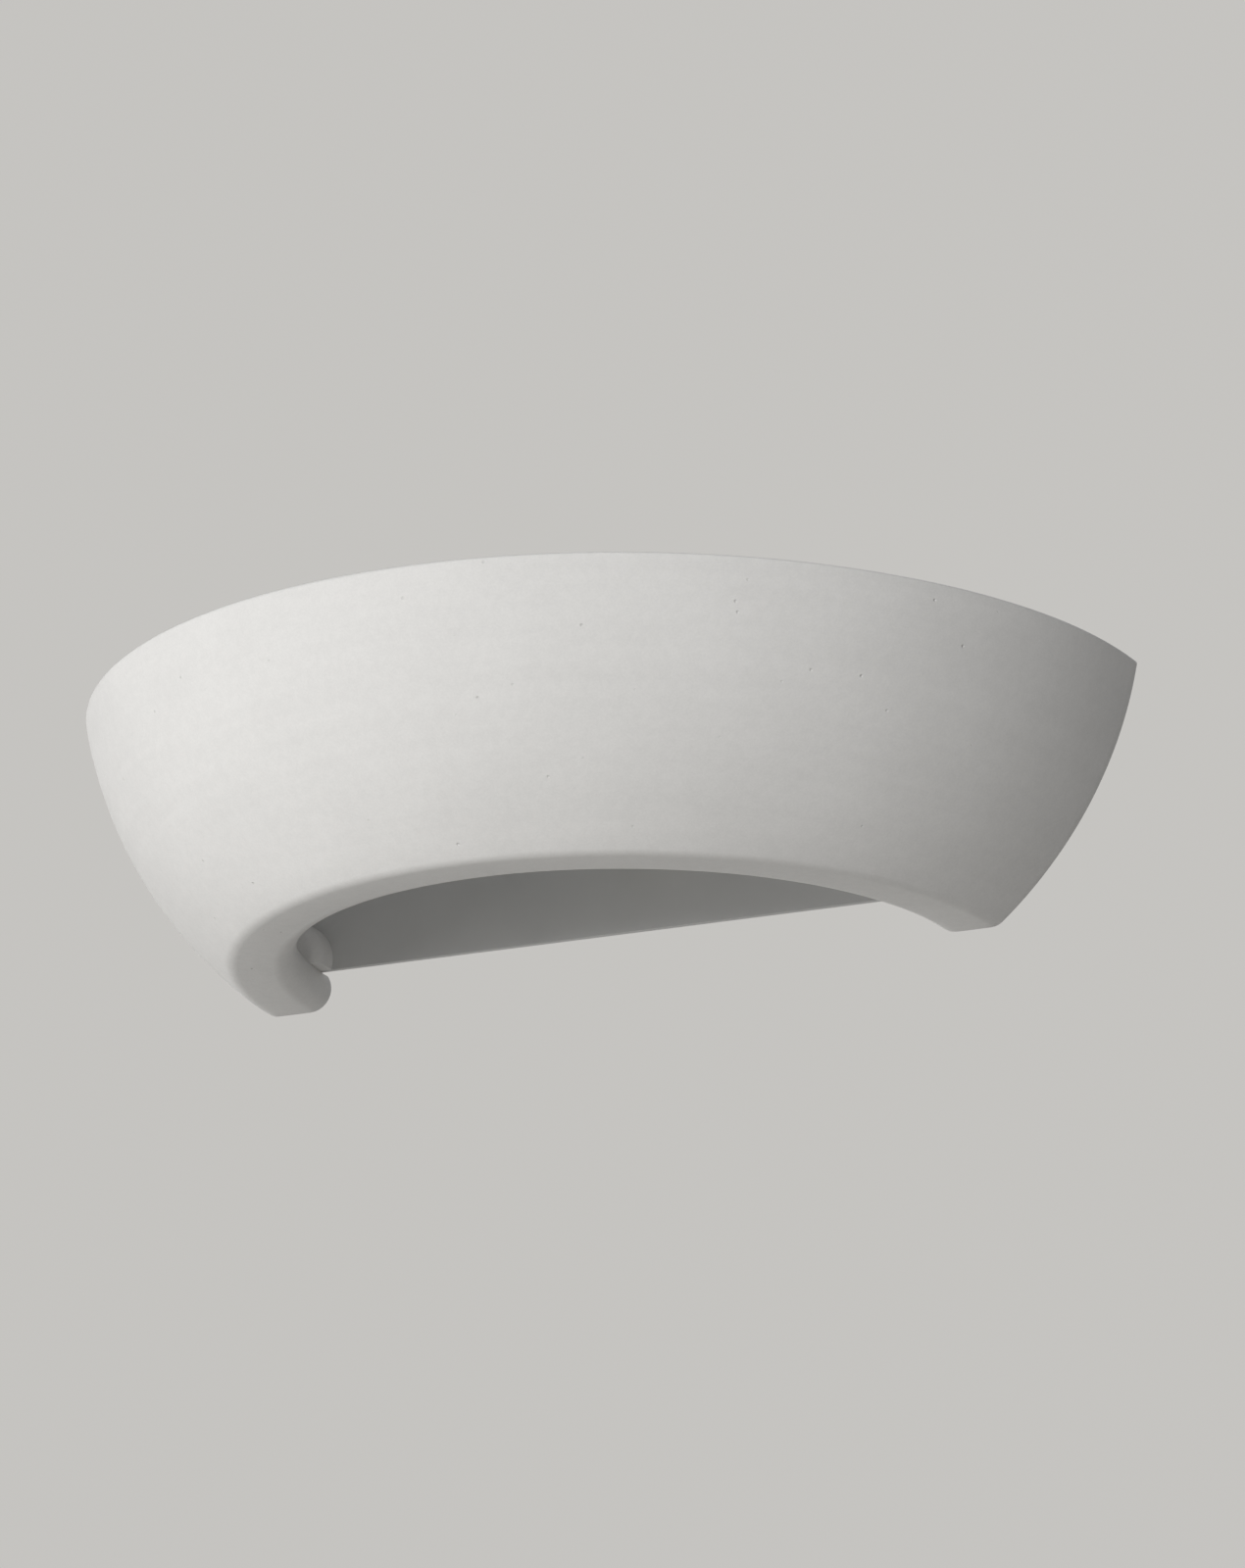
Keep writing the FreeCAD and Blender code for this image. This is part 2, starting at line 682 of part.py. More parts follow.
def holder_inside():
    """The core, the threaded sleeve, the sprung centre contact and the terminal screws."""
    core_start = f"({CORE_FACE} - core_length)"
    core_radius = "holder_radius - holder_wall - core_gap"
    core = rod("CoreBlank", core_radius, "core_length", core_start, *LAMP_AXIS)
    wells = [
        rod(
            f"TerminalWell{number}", "terminal_radius + thread_gap", "terminal_depth",
            core_start, f"{side} * terminal_offset - lamp_depth", *LAMP_AXIS[1:],
        )
        for number, side in enumerate((-1, 1), start=1)
    ]
    node("holder_core", cut("HolderCore", core, *wells))
    screws = [
        rod(
            f"TerminalScrew{number}", "terminal_radius", "terminal_depth",
            core_start, f"{side} * terminal_offset - lamp_depth", *LAMP_AXIS[1:],
        )
        for number, side in enumerate((-1, 1), start=1)
    ]
    node("holder_terminals", group("HolderTerminals", screws))
    on_axis("contact_sleeve", [
        ("sleeve_bore - 2 * sleeve_sheet", "0"),
        ("sleeve_bore + sleeve_sheet", "0"),
        ("sleeve_bore + sleeve_sheet", "sleeve_length"),
        ("sleeve_bore", "sleeve_length"),
        ("sleeve_bore", "sleeve_sheet"),
        ("sleeve_bore - 2 * sleeve_sheet", "sleeve_sheet"),
    ], CORE_FACE)
    wide = ("-lamp_depth - contact_width / 2", "-lamp_depth + contact_width / 2")
    across = ("lamp_height - contact_span / 2", "lamp_height + contact_span / 2")
    top = f"{CORE_FACE} + contact_rise"
    foot = box("ContactFoot", (CORE_FACE, f"{CORE_FACE} + contact_sheet"), wide, across)
    riser = box("ContactRiser", (CORE_FACE, top), wide, (across[0], f"{across[0]} + contact_sheet"))
    tongue = box("ContactTongue", (f"{top} - contact_sheet", top), wide, across)
    node("centre_contact", fuse("CentreContact", foot, riser, tongue))


# The lamp.

HOUSING_STEPS = 10


def housing_point(step, wall):
    """A point of the housing's flare, an S curve from its neck to the globe's edge."""
    share = f"(1 - cos(180 * {step} / {HOUSING_STEPS})) / 2"
    radius = f"housing_neck + ({GLOBE_EDGE} - housing_neck) * {share} - {wall}"
    return radius, f"housing_length * {step} / {HOUSING_STEPS}"


def lamp():
    on_axis("lamp_contact", [
        ("0", "0"),
        ("0.6 * button_radius", "0"),
        ("button_radius", "button_height"),
        ("0", "button_height"),
    ], BUTTON_TIP)
    on_axis("lamp_insulator", [
        ("0", "0"),
        ("button_radius", "0"),
        ("insulator_radius", "insulator_height"),
        ("0", "insulator_height"),
    ], f"{BUTTON_TIP} + button_height")
    on_axis("lamp_cap", [
        ("insulator_radius - 1.5 * lamp_cap_sheet", "0"),
        ("insulator_radius", "0"),
        ("lamp_cap_radius", "3 * lamp_cap_sheet"),
        ("lamp_cap_radius", "lamp_cap_length"),
        ("lamp_cap_radius - lamp_cap_sheet", "lamp_cap_length"),
        ("lamp_cap_radius - lamp_cap_sheet", "4 * lamp_cap_sheet"),
    ], LAMP_CAP_START)
    seat = f"({GLOBE_EDGE} - housing_wall)"
    outside = [housing_point(step, "0") for step in range(HOUSING_STEPS + 1)]
    inside = [housing_point(step, "housing_wall") for step in range(HOUSING_STEPS - 1)]
    board_bed = "housing_length - board_sheet"
    end = [(seat, "housing_length"), (seat, board_bed), (f"{seat} - board_ledge", board_bed)]
    on_axis("lamp_housing", outside + end + inside[::-1], HOUSING_START)


def lamp_light():
    """The opal globe, and the board with its ring of light-emitting chips behind it."""
    side = rod("GlobeSide", "globe_radius", "globe_offset + globe_radius", HOUSING_END, *LAMP_AXIS)
    rounded = doc.addObject("Part::MultiCommon", "GlobeOutside")
    rounded.Shapes = [side, ball("GlobeBall", "globe_radius", GLOBE_CENTRE, *LAMP_AXIS)]
    hollow = ball("GlobeHollow", "globe_radius - globe_wall", GLOBE_CENTRE, *LAMP_AXIS)
    node("lamp_globe", cut("LampGlobe", rounded, hollow))
    board_back = f"({HOUSING_END} - board_sheet)"
    board_radius = f"{GLOBE_EDGE} - housing_wall - board_gap"
    node("led_board", rod("LedBoard", board_radius, "board_sheet", board_back, *LAMP_AXIS))
    chips = []
    count = int(value("chip_count"))
    for number in range(count):
        y = f"(chip_circle * cos(360 * {number} / {count}) - lamp_depth)"
        z = f"(chip_circle * sin(360 * {number} / {count}) + lamp_height)"
        chips.append(box(
            f"Chip{number + 1}",
            (HOUSING_END, f"{HOUSING_END} + chip_height"),
            (f"{y} - chip_width / 2", f"{y} + chip_width / 2"),
            (f"{z} - chip_width / 2", f"{z} + chip_width / 2"),
        ))
    node("led_chips", group("LedChips", chips))


# The terminal block, the earth connection and the wires.


def terminal_block():
    """Three poles one above another: brass tubes with two clamp screws each, in a nylon block."""
    left, right = "block_place", "(block_place + block_width)"
    face = f"({PLATE_FRONT} - block_depth)"
    level = ("block_base", "block_base + 3 * pole_pitch")
    blank = box("BlockBlank", (left, right), (face, PLATE_FRONT), level)
    bores, tubes, clamps, clamp_holes = [], [], [], []
    for pole in range(3):
        z = f"(block_base + {pole + 0.5} * pole_pitch)"
        bores.append(rod(f"PoleBore{pole}", "pole_radius", "block_width", left, POLE_Y, z, "right"))
        pole_tube = tube(
            f"PoleTube{pole}", "pole_radius - pole_wall", "pole_radius", "block_width",
            left, POLE_Y, z, "right",
        )
        drilled = []
        for name, x in (("In", f"{right} - clamp_inset"), ("Out", f"{left} + clamp_inset")):
            hole = rod(
                f"ClampHole{name}{pole}", "clamp_radius + thread_gap", f"{POLE_Y} - {face}",
                x, POLE_Y, z, "front",
            )
            clamp_holes.append(hole)
            drilled.append(hole)
            length = f"{POLE_Y} - {face} - clamp_sink"
            clamps.append(rod(f"Clamp{name}{pole}", "clamp_radius", length, x, POLE_Y, z, "front"))
        tubes.append(cut(f"DrilledTube{pole}", pole_tube, *drilled))
    fixing_x, fixing_z = "(block_place + block_width / 2)", "(block_base + pole_pitch)"
    fixing_hole = rod(
        "BlockFixingHole", "fixing_radius + thread_gap", "block_depth",
        fixing_x, PLATE_FRONT, fixing_z, "front",
    )
    fixing_seat = rod(
        "BlockFixingSeat", "fixing_head + hole_gap", "fixing_sink",
        fixing_x, f"{face} + fixing_sink", fixing_z, "front",
    )
    node("terminal_block", cut(
        "TerminalBlock", blank, *bores, *clamp_holes, fixing_hole, fixing_seat,
    ))
    node("terminal_tubes", group("TerminalTubes", tubes))
    node("terminal_screws", group("TerminalScrews", clamps))
    shank = "fixing_tail + plate_sheet + block_depth - fixing_sink"
    node("block_screw", turned(
        "BlockScrew",
        [
            ("0", "0"),
            ("fixing_radius", "0"),
            ("fixing_radius", shank),
            ("fixing_head", shank),
            ("fixing_head", f"{shank} + fixing_radius"),
            ("0", f"{shank} + fixing_radius"),
        ],
        fixing_x, f"{PLATE_BACK} + fixing_tail", fixing_z, "front",
    ))


def earth_point():
    """A stud welded to the plate, with the wire's ring terminal under a washer and nut."""
    x = "-earth_place"
    thread = "thread_radius + thread_gap"
    ring_y = PLATE_FRONT
    washer_y = f"({ring_y} - ring_sheet)"
    nut_y = f"({washer_y} - washer_sheet)"
    node("earth_stud", rod(
        "EarthStud", "thread_radius", "stud_length", x, PLATE_FRONT, "earth_height", "front",
    ))
    ring = rod("RingDisc", "ring_radius", "ring_sheet", x, ring_y, "earth_height", "front")
    neck = box(
        "RingNeck",
        (x, f"{x} + barrel_start + barrel_length / 2"),
        (washer_y, ring_y),
        ("earth_height - barrel_radius", "earth_height + barrel_radius"),
    )
    barrel_y = f"({ring_y} - barrel_radius)"
    barrel = rod(
        "RingBarrel", "barrel_radius", "barrel_length",
        f"{x} + barrel_start", barrel_y, "earth_height", "right",
    )
    hole = rod("RingHole", thread, "ring_sheet", x, ring_y, "earth_height", "front")
    node("earth_ring", cut("EarthRing", fuse("RingAndBarrel", ring, neck, barrel), hole))
    node("earth_washer", tube(
        "EarthWasher", thread, "washer_radius", "washer_sheet", x, washer_y, "earth_height", "front",
    ))
    node("earth_nut", nut(
        "EarthNut", "nut_flats", "nut_height", "thread_radius", x, nut_y, "earth_height", "front",
    ))


def rounded_path(name, points):
    """Straight runs joined by tangent arcs as large as the runs allow."""
    edges = []
    radii = []
    start = points[0]
    for before, corner, after in zip(points, points[1:], points[2:]):
        come = (corner - before).normalize()
        leave = (after - corner).normalize()
        half_turn = come.getAngle(leave) / 2
        reach = 0.45 * min((corner - before).Length, (after - corner).Length)
        radius = reach / math.tan(half_turn)
        bisector = (leave - come).normalize()
        middle = corner + bisector * (radius / math.cos(half_turn) - radius)
        enter, exit_point = corner - come * reach, corner + leave * reach
        edges.append(Part.LineSegment(start, enter).toShape())
        edges.append(Part.Arc(enter, middle, exit_point).toShape())
        radii.append(radius)
        start = exit_point
    edges.append(Part.LineSegment(start, points[-1]).toShape())
    print(name, "arc radii", " ".join(f"{radius:.1f}" for radius in radii))
    return Part.Wire(edges)


def wire(name, points):
    """A wire's insulation, swept along its route, with its volume compared."""
    path = rounded_path(name, points)
    radius = value("wire_radius")
    direction = (points[1] - points[0]).normalize()
    ring = Part.Wire(Part.Circle(points[0], direction, radius).toShape())
    solid = path.makePipeShell([ring], True, False)
    expected = math.pi * radius**2 * path.Length
    print(name, f"length {path.Length:.1f}, volume {solid.Volume:.1f} of {expected:.1f}")
    if abs(solid.Volume - expected) > 0.01 * expected:
        raise ValueError(f"{name} has the wrong volume")
    feature = doc.addObject("Part::Feature", joined(name))
    feature.Shape = solid
    feature.Placement = Placement(Vector(0, 0, value("-screw_line_height")), Rotation())
    feature.Label = name
    nodes.append(feature)


def wires():
    """The live and neutral leads run over the bracket into the nipple; the earth is short."""
    block_x, pole_y = value("block_place"), value(POLE_Y)
    pole_z = [value(f"block_base + {pole + 0.5} * pole_pitch") for pole in range(3)]
    nipple_x = value(f"{ARM_BACK} - locknut_height")
    axis_y, axis_z = value("-lamp_depth"), value("lamp_height")
    over_z = value("lamp_height + bracket_height / 2")
    core_x = value(f"{CORE_FACE} - core_length")
    offset = value("wire_pair_offset")
    wire("wire_live", [
        Vector(block_x, pole_y, pole_z[2]),
        Vector(block_x - 24, pole_y + 0.5, pole_z[2] + 1.5),
        Vector(nipple_x + 26, pole_y + 1, over_z + 6.5),
        Vector(nipple_x - 2, pole_y - 3, over_z + 6),
        Vector(nipple_x - 16, pole_y - 23, over_z + 3),
        Vector(nipple_x - 18, axis_y + 16, axis_z + 7),
        Vector(nipple_x - 9, axis_y, axis_z + offset),
        Vector(core_x, axis_y, axis_z + offset),
    ])
    wire("wire_neutral", [
        Vector(block_x, pole_y, pole_z[1]),
        Vector(block_x - 16, pole_y - 1, pole_z[1] + 2.5),
        Vector(nipple_x + 42, pole_y - 2.5, over_z + 2),
        Vector(nipple_x + 18, pole_y - 3.5, over_z + 3),
        Vector(nipple_x - 3, pole_y - 8, over_z + 2),
        Vector(nipple_x - 12, pole_y - 26, over_z - 1),
        Vector(nipple_x - 14, axis_y + 15, axis_z + 1.5),
        Vector(nipple_x - 8, axis_y, axis_z - offset),
        Vector(core_x, axis_y, axis_z - offset),
    ])
    barrel_x = value("barrel_start + barrel_length - earth_place")
    barrel_y = value(f"{PLATE_FRONT} - barrel_radius")
    earth_z = value("earth_height")
    wire("wire_earth", [
        Vector(block_x, pole_y, pole_z[0]),
        Vector(block_x - 7, pole_y, pole_z[0]),
        Vector(barrel_x + 7, barrel_y, earth_z),
        Vector(barrel_x, barrel_y, earth_z),
    ])


shell()
shell_fixings()
wall_plate()
cable_grommet()
lamp_bracket()
bracket_fixings()
lampholder()
holder_inside()
lamp()
lamp_light()
terminal_block()
earth_point()
doc.recompute()
wires()
doc.recompute()

# Nothing is written unless every object and every sub-part is sound.

for item in doc.Objects:
    if "Invalid" in item.State or "Error" in item.State:
        raise RuntimeError(f"{item.Label} is {item.State}")
for item in nodes:
    if item.Shape.isNull() or not item.Shape.isValid() or not item.Shape.Solids:
        raise RuntimeError(f"{item.Label} has no sound shape")

os.makedirs("parts", exist_ok=True)
for item in nodes:
    item.Shape.exportStep(f"parts/{item.Label}.step")
print(len(nodes), "sub-parts written")
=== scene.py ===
# %% [markdown]
# # Uplighter wall sconce
# A half-round wall light: a thick shell of matt white plaster, open above and below, a steel plate across
# its back, and an LED lamp lying level in a holder inside. The CAD frame gives every piece its place, so
# each cell below only has to make a piece look like what it is made of.

# %% Load the frame
import math

import bpy
from mathutils import Matrix, Vector


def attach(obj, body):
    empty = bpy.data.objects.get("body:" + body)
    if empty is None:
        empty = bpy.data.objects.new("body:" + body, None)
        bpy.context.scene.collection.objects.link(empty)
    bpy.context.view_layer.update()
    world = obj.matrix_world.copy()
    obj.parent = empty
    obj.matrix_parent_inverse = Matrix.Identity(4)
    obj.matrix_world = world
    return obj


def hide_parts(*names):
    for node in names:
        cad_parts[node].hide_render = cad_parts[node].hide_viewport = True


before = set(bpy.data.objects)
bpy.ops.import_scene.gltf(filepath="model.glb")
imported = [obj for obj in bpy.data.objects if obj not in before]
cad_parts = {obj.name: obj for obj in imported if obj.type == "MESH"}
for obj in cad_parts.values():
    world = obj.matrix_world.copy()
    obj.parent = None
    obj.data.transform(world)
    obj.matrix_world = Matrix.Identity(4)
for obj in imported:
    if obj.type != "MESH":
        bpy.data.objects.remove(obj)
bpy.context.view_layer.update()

MM = 0.001

# %% [markdown]
# ## Camera
# The photograph was taken with a long lens from the right and below. The camera stands where lines through
# the shell's rim, foot and ends meet, two and three quarter metres away, so that the perspective is as flat
# as there.

# %% Camera
EYE = Vector((1.1181, -2.3935, -0.8312))
LOOK = Vector((-0.40392, 0.86239, 0.30518))
ROLL = 0.0076
LENS = 198.56

bpy.ops.object.select_all(action="DESELECT")
bpy.ops.object.camera_add(location=EYE)
camera = bpy.context.object
camera.name = "camera"
level = LOOK.to_track_quat("-Z", "Y").to_matrix().to_4x4()
camera.matrix_world = Matrix.Translation(EYE) @ level @ Matrix.Rotation(ROLL, 4, "Z")
camera.data.lens = LENS
camera.data.clip_end = 100
bpy.context.scene.camera = camera
print("camera", round(EYE.length, 2), "m away")

# %% [markdown]
# ## Lamps
# Four wide soft lamps. One from the left and one from the front model the round outside, as in the
# photograph. A weak one from below on the right lifts the underside, and one from above and behind keeps
# the back readable.

# %% Lamps
LAMP_SIZE = 1.3
FAR, NEAR = 2.6, 1.7


def soft_lamp(name, azimuth, elevation, distance, energy):
    """A square area lamp that looks at the object from an azimuth left or right of the front."""
    a, e = math.radians(azimuth), math.radians(elevation)
    away = Vector((math.sin(a) * math.cos(e), -math.cos(a) * math.cos(e), math.sin(e)))
    bpy.ops.object.light_add(type="AREA", location=away * distance)
    lamp = bpy.context.object
    lamp.name = name
    lamp.rotation_euler = away.to_track_quat("Z", "Y").to_euler()
    lamp.data.size = LAMP_SIZE
    lamp.data.energy = energy
    print(name, energy, "W")


soft_lamp("left_lamp", -80, -12, FAR, 27)
soft_lamp("front_lamp", 0, 5, FAR, 41.5)
soft_lamp("low_lamp", 50, -50, NEAR, 2.2)
soft_lamp("back_lamp", 175, 30, FAR, 12)

# %% [markdown]
# ## World
# The world gives an even grey light. What the camera, gloss and glass see behind the object is a pale grey
# instead, which Light Path keeps apart from that light.

# %% World
PALE = (0.56, 0.55, 0.53, 1)
DAYLIGHT = (0.97, 0.98, 1.0, 1)
WORLD_LIGHT = 0.22


def seen_rays(tree):
    """1 for rays from the camera, off gloss or through glass, and 0 for the rest."""
    path = tree.nodes.new("ShaderNodeLightPath")
    signal = path.outputs["Is Camera Ray"]
    for kind in ("Is Glossy Ray", "Is Transmission Ray"):
        either = tree.nodes.new("ShaderNodeMath")
        either.operation = "MAXIMUM"
        tree.links.new(signal, either.inputs[0])
        tree.links.new(path.outputs[kind], either.inputs[1])
        signal = either.outputs[0]
    return signal


world = bpy.data.worlds.new("pale_room")
bpy.context.scene.world = world
world.use_nodes = True
nodes, links = world.node_tree.nodes, world.node_tree.links
given = nodes["Background"]
given.inputs["Color"].default_value = DAYLIGHT
given.inputs["Strength"].default_value = WORLD_LIGHT
seen = nodes.new("ShaderNodeBackground")
seen.inputs["Color"].default_value = PALE
mix = nodes.new("ShaderNodeMixShader")
links.new(seen_rays(world.node_tree), mix.inputs["Fac"])
links.new(given.outputs[0], mix.inputs[1])
links.new(seen.outputs[0], mix.inputs[2])
links.new(mix.outputs[0], nodes["World Output"].inputs["Surface"])
print("world light", WORLD_LIGHT)

# %% [markdown]
# ## Floor
# A plain pale floor, well below the object. It is lifted a little for the same rays, so that it looks as
# pale as the background, and it keeps the object's shadow.

# %% Floor
FLOOR_HEIGHT = -1.5
FLOOR_SIZE = 16
FLOOR_LIFT = 0.65

bpy.ops.mesh.primitive_plane_add(size=FLOOR_SIZE, location=(0, 0, FLOOR_HEIGHT))
floor = bpy.context.object
floor.name = "floor"
floor_paint = bpy.data.materials.new("floor_paint")
floor_paint.use_nodes = True
tree = floor_paint.node_tree
floor_shader = tree.nodes["Principled BSDF"]
floor_shader.inputs["Base Color"].default_value = PALE
floor_shader.inputs["Roughness"].default_value = 0.9
floor_shader.inputs["Emission Color"].default_value = PALE
lift = tree.nodes.new("ShaderNodeMath")
lift.operation = "MULTIPLY"
lift.inputs[1].default_value = FLOOR_LIFT
tree.links.new(seen_rays(tree), lift.inputs[0])
tree.links.new(lift.outputs[0], floor_shader.inputs["Emission Strength"])
floor.data.materials.append(floor_paint)
bpy.context.scene.view_settings.view_transform = "Standard"
print("floor at", FLOOR_HEIGHT)

# %% [markdown]
# ## Finishes
# Each finish is one Principled shader fed by noise in Object coordinates, so that grain and pits keep their
# real size on every piece. A small builder joins the nodes: it adds noise to the colour, and stacks bumps.

# %% Finish builder


def noise(tree, scale, detail=2.0, stretch=(1, 1, 1)):
    """Noise with a number of grains per metre; stretch gives each axis its own scale."""
    where = tree.nodes.new("ShaderNodeTexCoord")
    mapping = tree.nodes.new("ShaderNodeMapping")
    mapping.inputs["Scale"].default_value = stretch
    made = tree.nodes.new("ShaderNodeTexNoise")
    made.inputs["Scale"].default_value = scale
    made.inputs["Detail"].default_value = detail
    tree.links.new(where.outputs["Object"], mapping.inputs["Vector"])
    tree.links.new(mapping.outputs["Vector"], made.inputs["Vector"])
    return made.outputs["Fac"]


def remap(tree, signal, low, high, to_low, to_high):
    """Spread a signal from one range to another, cut off at the ends."""
    made = tree.nodes.new("ShaderNodeMapRange")
    for name, number in zip(("From Min", "From Max", "To Min", "To Max"), (low, high, to_low, to_high)):
        made.inputs[name].default_value = number
    tree.links.new(signal, made.inputs["Value"])
    return made.outputs["Result"]


def spread(tree, signal, low=0.35, high=0.65):
    """Stretch a part of a signal's range, the middle if nothing else is said, over 0 to 1."""
    return remap(tree, signal, low, high, 0.0, 1.0)


def shade(tree, colour, signal, dark):
    """Multiply a colour by a grey that goes from dark, where the signal is 0, to 1."""
    made = tree.nodes.new("ShaderNodeMix")
    made.data_type = "RGBA"
    made.blend_type = "MULTIPLY"
    made.inputs[0].default_value = 1.0
    grey = tree.nodes.new("ShaderNodeCombineColor")
    level = remap(tree, signal, 0.0, 1.0, dark, 1.0)
    for channel in grey.inputs:
        tree.links.new(level, channel)
    if isinstance(colour, tuple):
        made.inputs[6].default_value = colour
    else:
        tree.links.new(colour, made.inputs[6])
    tree.links.new(grey.outputs[0], made.inputs[7])
    return made.outputs[2]


def bump(tree, height, depth, before=None):
    """Relief of a depth in millimetres, laid over the relief before it."""
    made = tree.nodes.new("ShaderNodeBump")
    made.inputs["Distance"].default_value = depth * MM
    tree.links.new(height, made.inputs["Height"])
    if before is not None:
        tree.links.new(before, made.inputs["Normal"])
    return made.outputs["Normal"]


def finish(name, colour, roughness, **sockets):
    """A new material and its tree; further numbers go to the shader's sockets by name."""
    made = bpy.data.materials.new(name)
    made.use_nodes = True
    shader = made.node_tree.nodes["Principled BSDF"]
    shader.inputs["Base Color"].default_value = (*colour, 1)
    shader.inputs["Roughness"].default_value = roughness
    for socket, number in sockets.items():
        shader.inputs[socket.replace("_", " ")].default_value = number
    return made, made.node_tree, shader


# %% [markdown]
# ### Plaster
# Cast plaster is matt and chalky. Seen close, it has fine speckle, a few pinholes where air sat against the
# mould, with painted shade in them, and faint level marks from the turned pattern, drawn out along the shell's
# girth.

# %% Plaster
PLASTER = (0.80, 0.79, 0.77)
PITS_A_METRE = 260

plaster, tree, shader = finish("matt_plaster", PLASTER, 0.92, Specular_IOR_Level=0.25)
speckle = noise(tree, 1400, 3)
mottle = noise(tree, 28, 4)
meal = noise(tree, 330, 3)
marks = noise(tree, 1, 3, (9, 9, 210))
pits = tree.nodes.new("ShaderNodeTexVoronoi")
pits.inputs["Scale"].default_value = PITS_A_METRE
pit_place = tree.nodes.new("ShaderNodeTexCoord")
tree.links.new(pit_place.outputs["Object"], pits.inputs["Vector"])
pit_draw = tree.nodes.new("ShaderNodeSeparateColor")
tree.links.new(pits.outputs["Color"], pit_draw.inputs["Color"])
rare = spread(tree, pit_draw.outputs[0], 0.94, 0.95)
near = remap(tree, pits.outputs["Distance"], 0.03, 0.15, 1.0, 0.0)
pinhole = tree.nodes.new("ShaderNodeMath")
pinhole.operation = "MULTIPLY"
tree.links.new(rare, pinhole.inputs[0])
tree.links.new(near, pinhole.inputs[1])
pinhole_relief_and_shade = remap(tree, pinhole.outputs[0], 0.0, 1.0, 1.0, 0.0)
tone = shade(tree, (*PLASTER, 1), spread(tree, speckle), 0.965)
tone = shade(tree, tone, spread(tree, mottle), 0.975)
tone = shade(tree, tone, spread(tree, meal, 0.4, 0.6), 0.98)
tone = shade(tree, tone, spread(tree, marks), 0.98)
# The pinholes are darkened in colour: painted shade inside the pits. Their relief below is real.
tone = shade(tree, tone, pinhole_relief_and_shade, 0.93)
tree.links.new(tone, shader.inputs["Base Color"])
relief = bump(tree, mottle, 0.35)
relief = bump(tree, marks, 0.05, relief)
relief = bump(tree, meal, 0.03, relief)
relief = bump(tree, speckle, 0.03, relief)
relief = bump(tree, pinhole_relief_and_shade, 0.25, relief)
tree.links.new(relief, shader.inputs["Normal"])
print(plaster.name, len(tree.nodes), "nodes")

# %% [markdown]
# ### Powder coat
# The plate's white powder coat has the skin of an orange peel, about a millimetre from crest to crest.
# Behind the thick shell it looks a light grey, as in the photograph.

# %% Powder coat
# The coat's colour is a light grey, darker than white powder coat: painted shade for the plate's place behind
# the thick shell.
COAT_WITH_PAINTED_SHADE = (0.57, 0.57, 0.56)

coat, tree, shader = finish("white_powder_coat", COAT_WITH_PAINTED_SHADE, 0.45)
peel = noise(tree, 900, 1)
cloud = noise(tree, 40, 3)
tree.links.new(shade(tree, (*COAT_WITH_PAINTED_SHADE, 1), spread(tree, cloud), 0.97), shader.inputs["Base Color"])
tree.links.new(remap(tree, peel, 0.3, 0.7, 0.40, 0.52), shader.inputs["Roughness"])
tree.links.new(bump(tree, peel, 0.02), shader.inputs["Normal"])
print(coat.name, len(tree.nodes), "nodes")

# %% [markdown]
# ## Finishes of the fittings
# Inside the shell each kind of part has its own make: plated and turned metal, moulded thermoset, steatite,
# glass, opal plastic, rubber and wire insulation. They all share one recipe, fine grain over broad clouds,
# and differ in how coarse, how deep and how glossy these are. A stretched grain gives turned or rolled
# metal its lay.

# %% A recipe for fittings
BROAD_CLOUDS = 55


def skin(name, colour, roughness, grain, relief, dark, stretch=(1, 1, 1), **sockets):
    """A finish with fine grain, broad clouds, and a roughness that wanders about its middle."""
    made, tree, shader = finish(name, colour, roughness, **sockets)
    fine = noise(tree, grain, 2, stretch)
    broad = noise(tree, BROAD_CLOUDS, 3)
    tone = shade(tree, (*colour, 1), spread(tree, fine), dark)
    tone = shade(tree, tone, spread(tree, broad), 0.5 + dark / 2)
    tree.links.new(tone, shader.inputs["Base Color"])
    wander = remap(tree, broad, 0.3, 0.7, roughness * 0.85, roughness * 1.2)
    tree.links.new(wander, shader.inputs["Roughness"])
    tree.links.new(bump(tree, fine, relief), shader.inputs["Normal"])
    return made


zinc = skin("bright_zinc_plate", (0.66, 0.68, 0.70), 0.34, 1500, 0.012, 0.86, (1, 1, 0.25), Metallic=1.0)
brass = skin("turned_brass", (0.72, 0.52, 0.24), 0.30, 2600, 0.010, 0.88, (6, 1, 1), Metallic=1.0)
nickel = skin("nickel_plate", (0.70, 0.69, 0.66), 0.27, 2200, 0.008, 0.90, (5, 1, 1), Metallic=1.0)
solder = skin("soldered_tin", (0.52, 0.52, 0.53), 0.45, 700, 0.08, 0.80, Metallic=1.0)
thermoset = skin("moulded_thermoset", (0.80, 0.80, 0.77), 0.32, 1900, 0.010, 0.965)
steatite = skin("pressed_steatite", (0.74, 0.71, 0.63), 0.62, 1300, 0.035, 0.93)
black_glass = skin("black_cap_glass", (0.018, 0.018, 0.022), 0.10, 300, 0.02, 0.80)
white_housing = skin("lamp_housing_plastic", (0.82, 0.82, 0.81), 0.36, 2400, 0.008, 0.98)
board = skin("white_solder_mask", (0.76, 0.77, 0.78), 0.42, 1700, 0.015, 0.95)
phosphor = skin("yellow_phosphor", (0.80, 0.58, 0.10), 0.50, 2100, 0.02, 0.88)
rubber = skin("black_grommet_rubber", (0.022, 0.022, 0.023), 0.62, 1600, 0.03, 0.75)
nylon = skin("natural_nylon", (0.74, 0.73, 0.68), 0.48, 1500, 0.02, 0.95)
brown_skin = skin("brown_insulation", (0.11, 0.042, 0.018), 0.40, 900, 0.02, 0.85)
blue_skin = skin("blue_insulation", (0.022, 0.085, 0.33), 0.40, 900, 0.02, 0.85)
print(len(bpy.data.materials), "finishes so far")

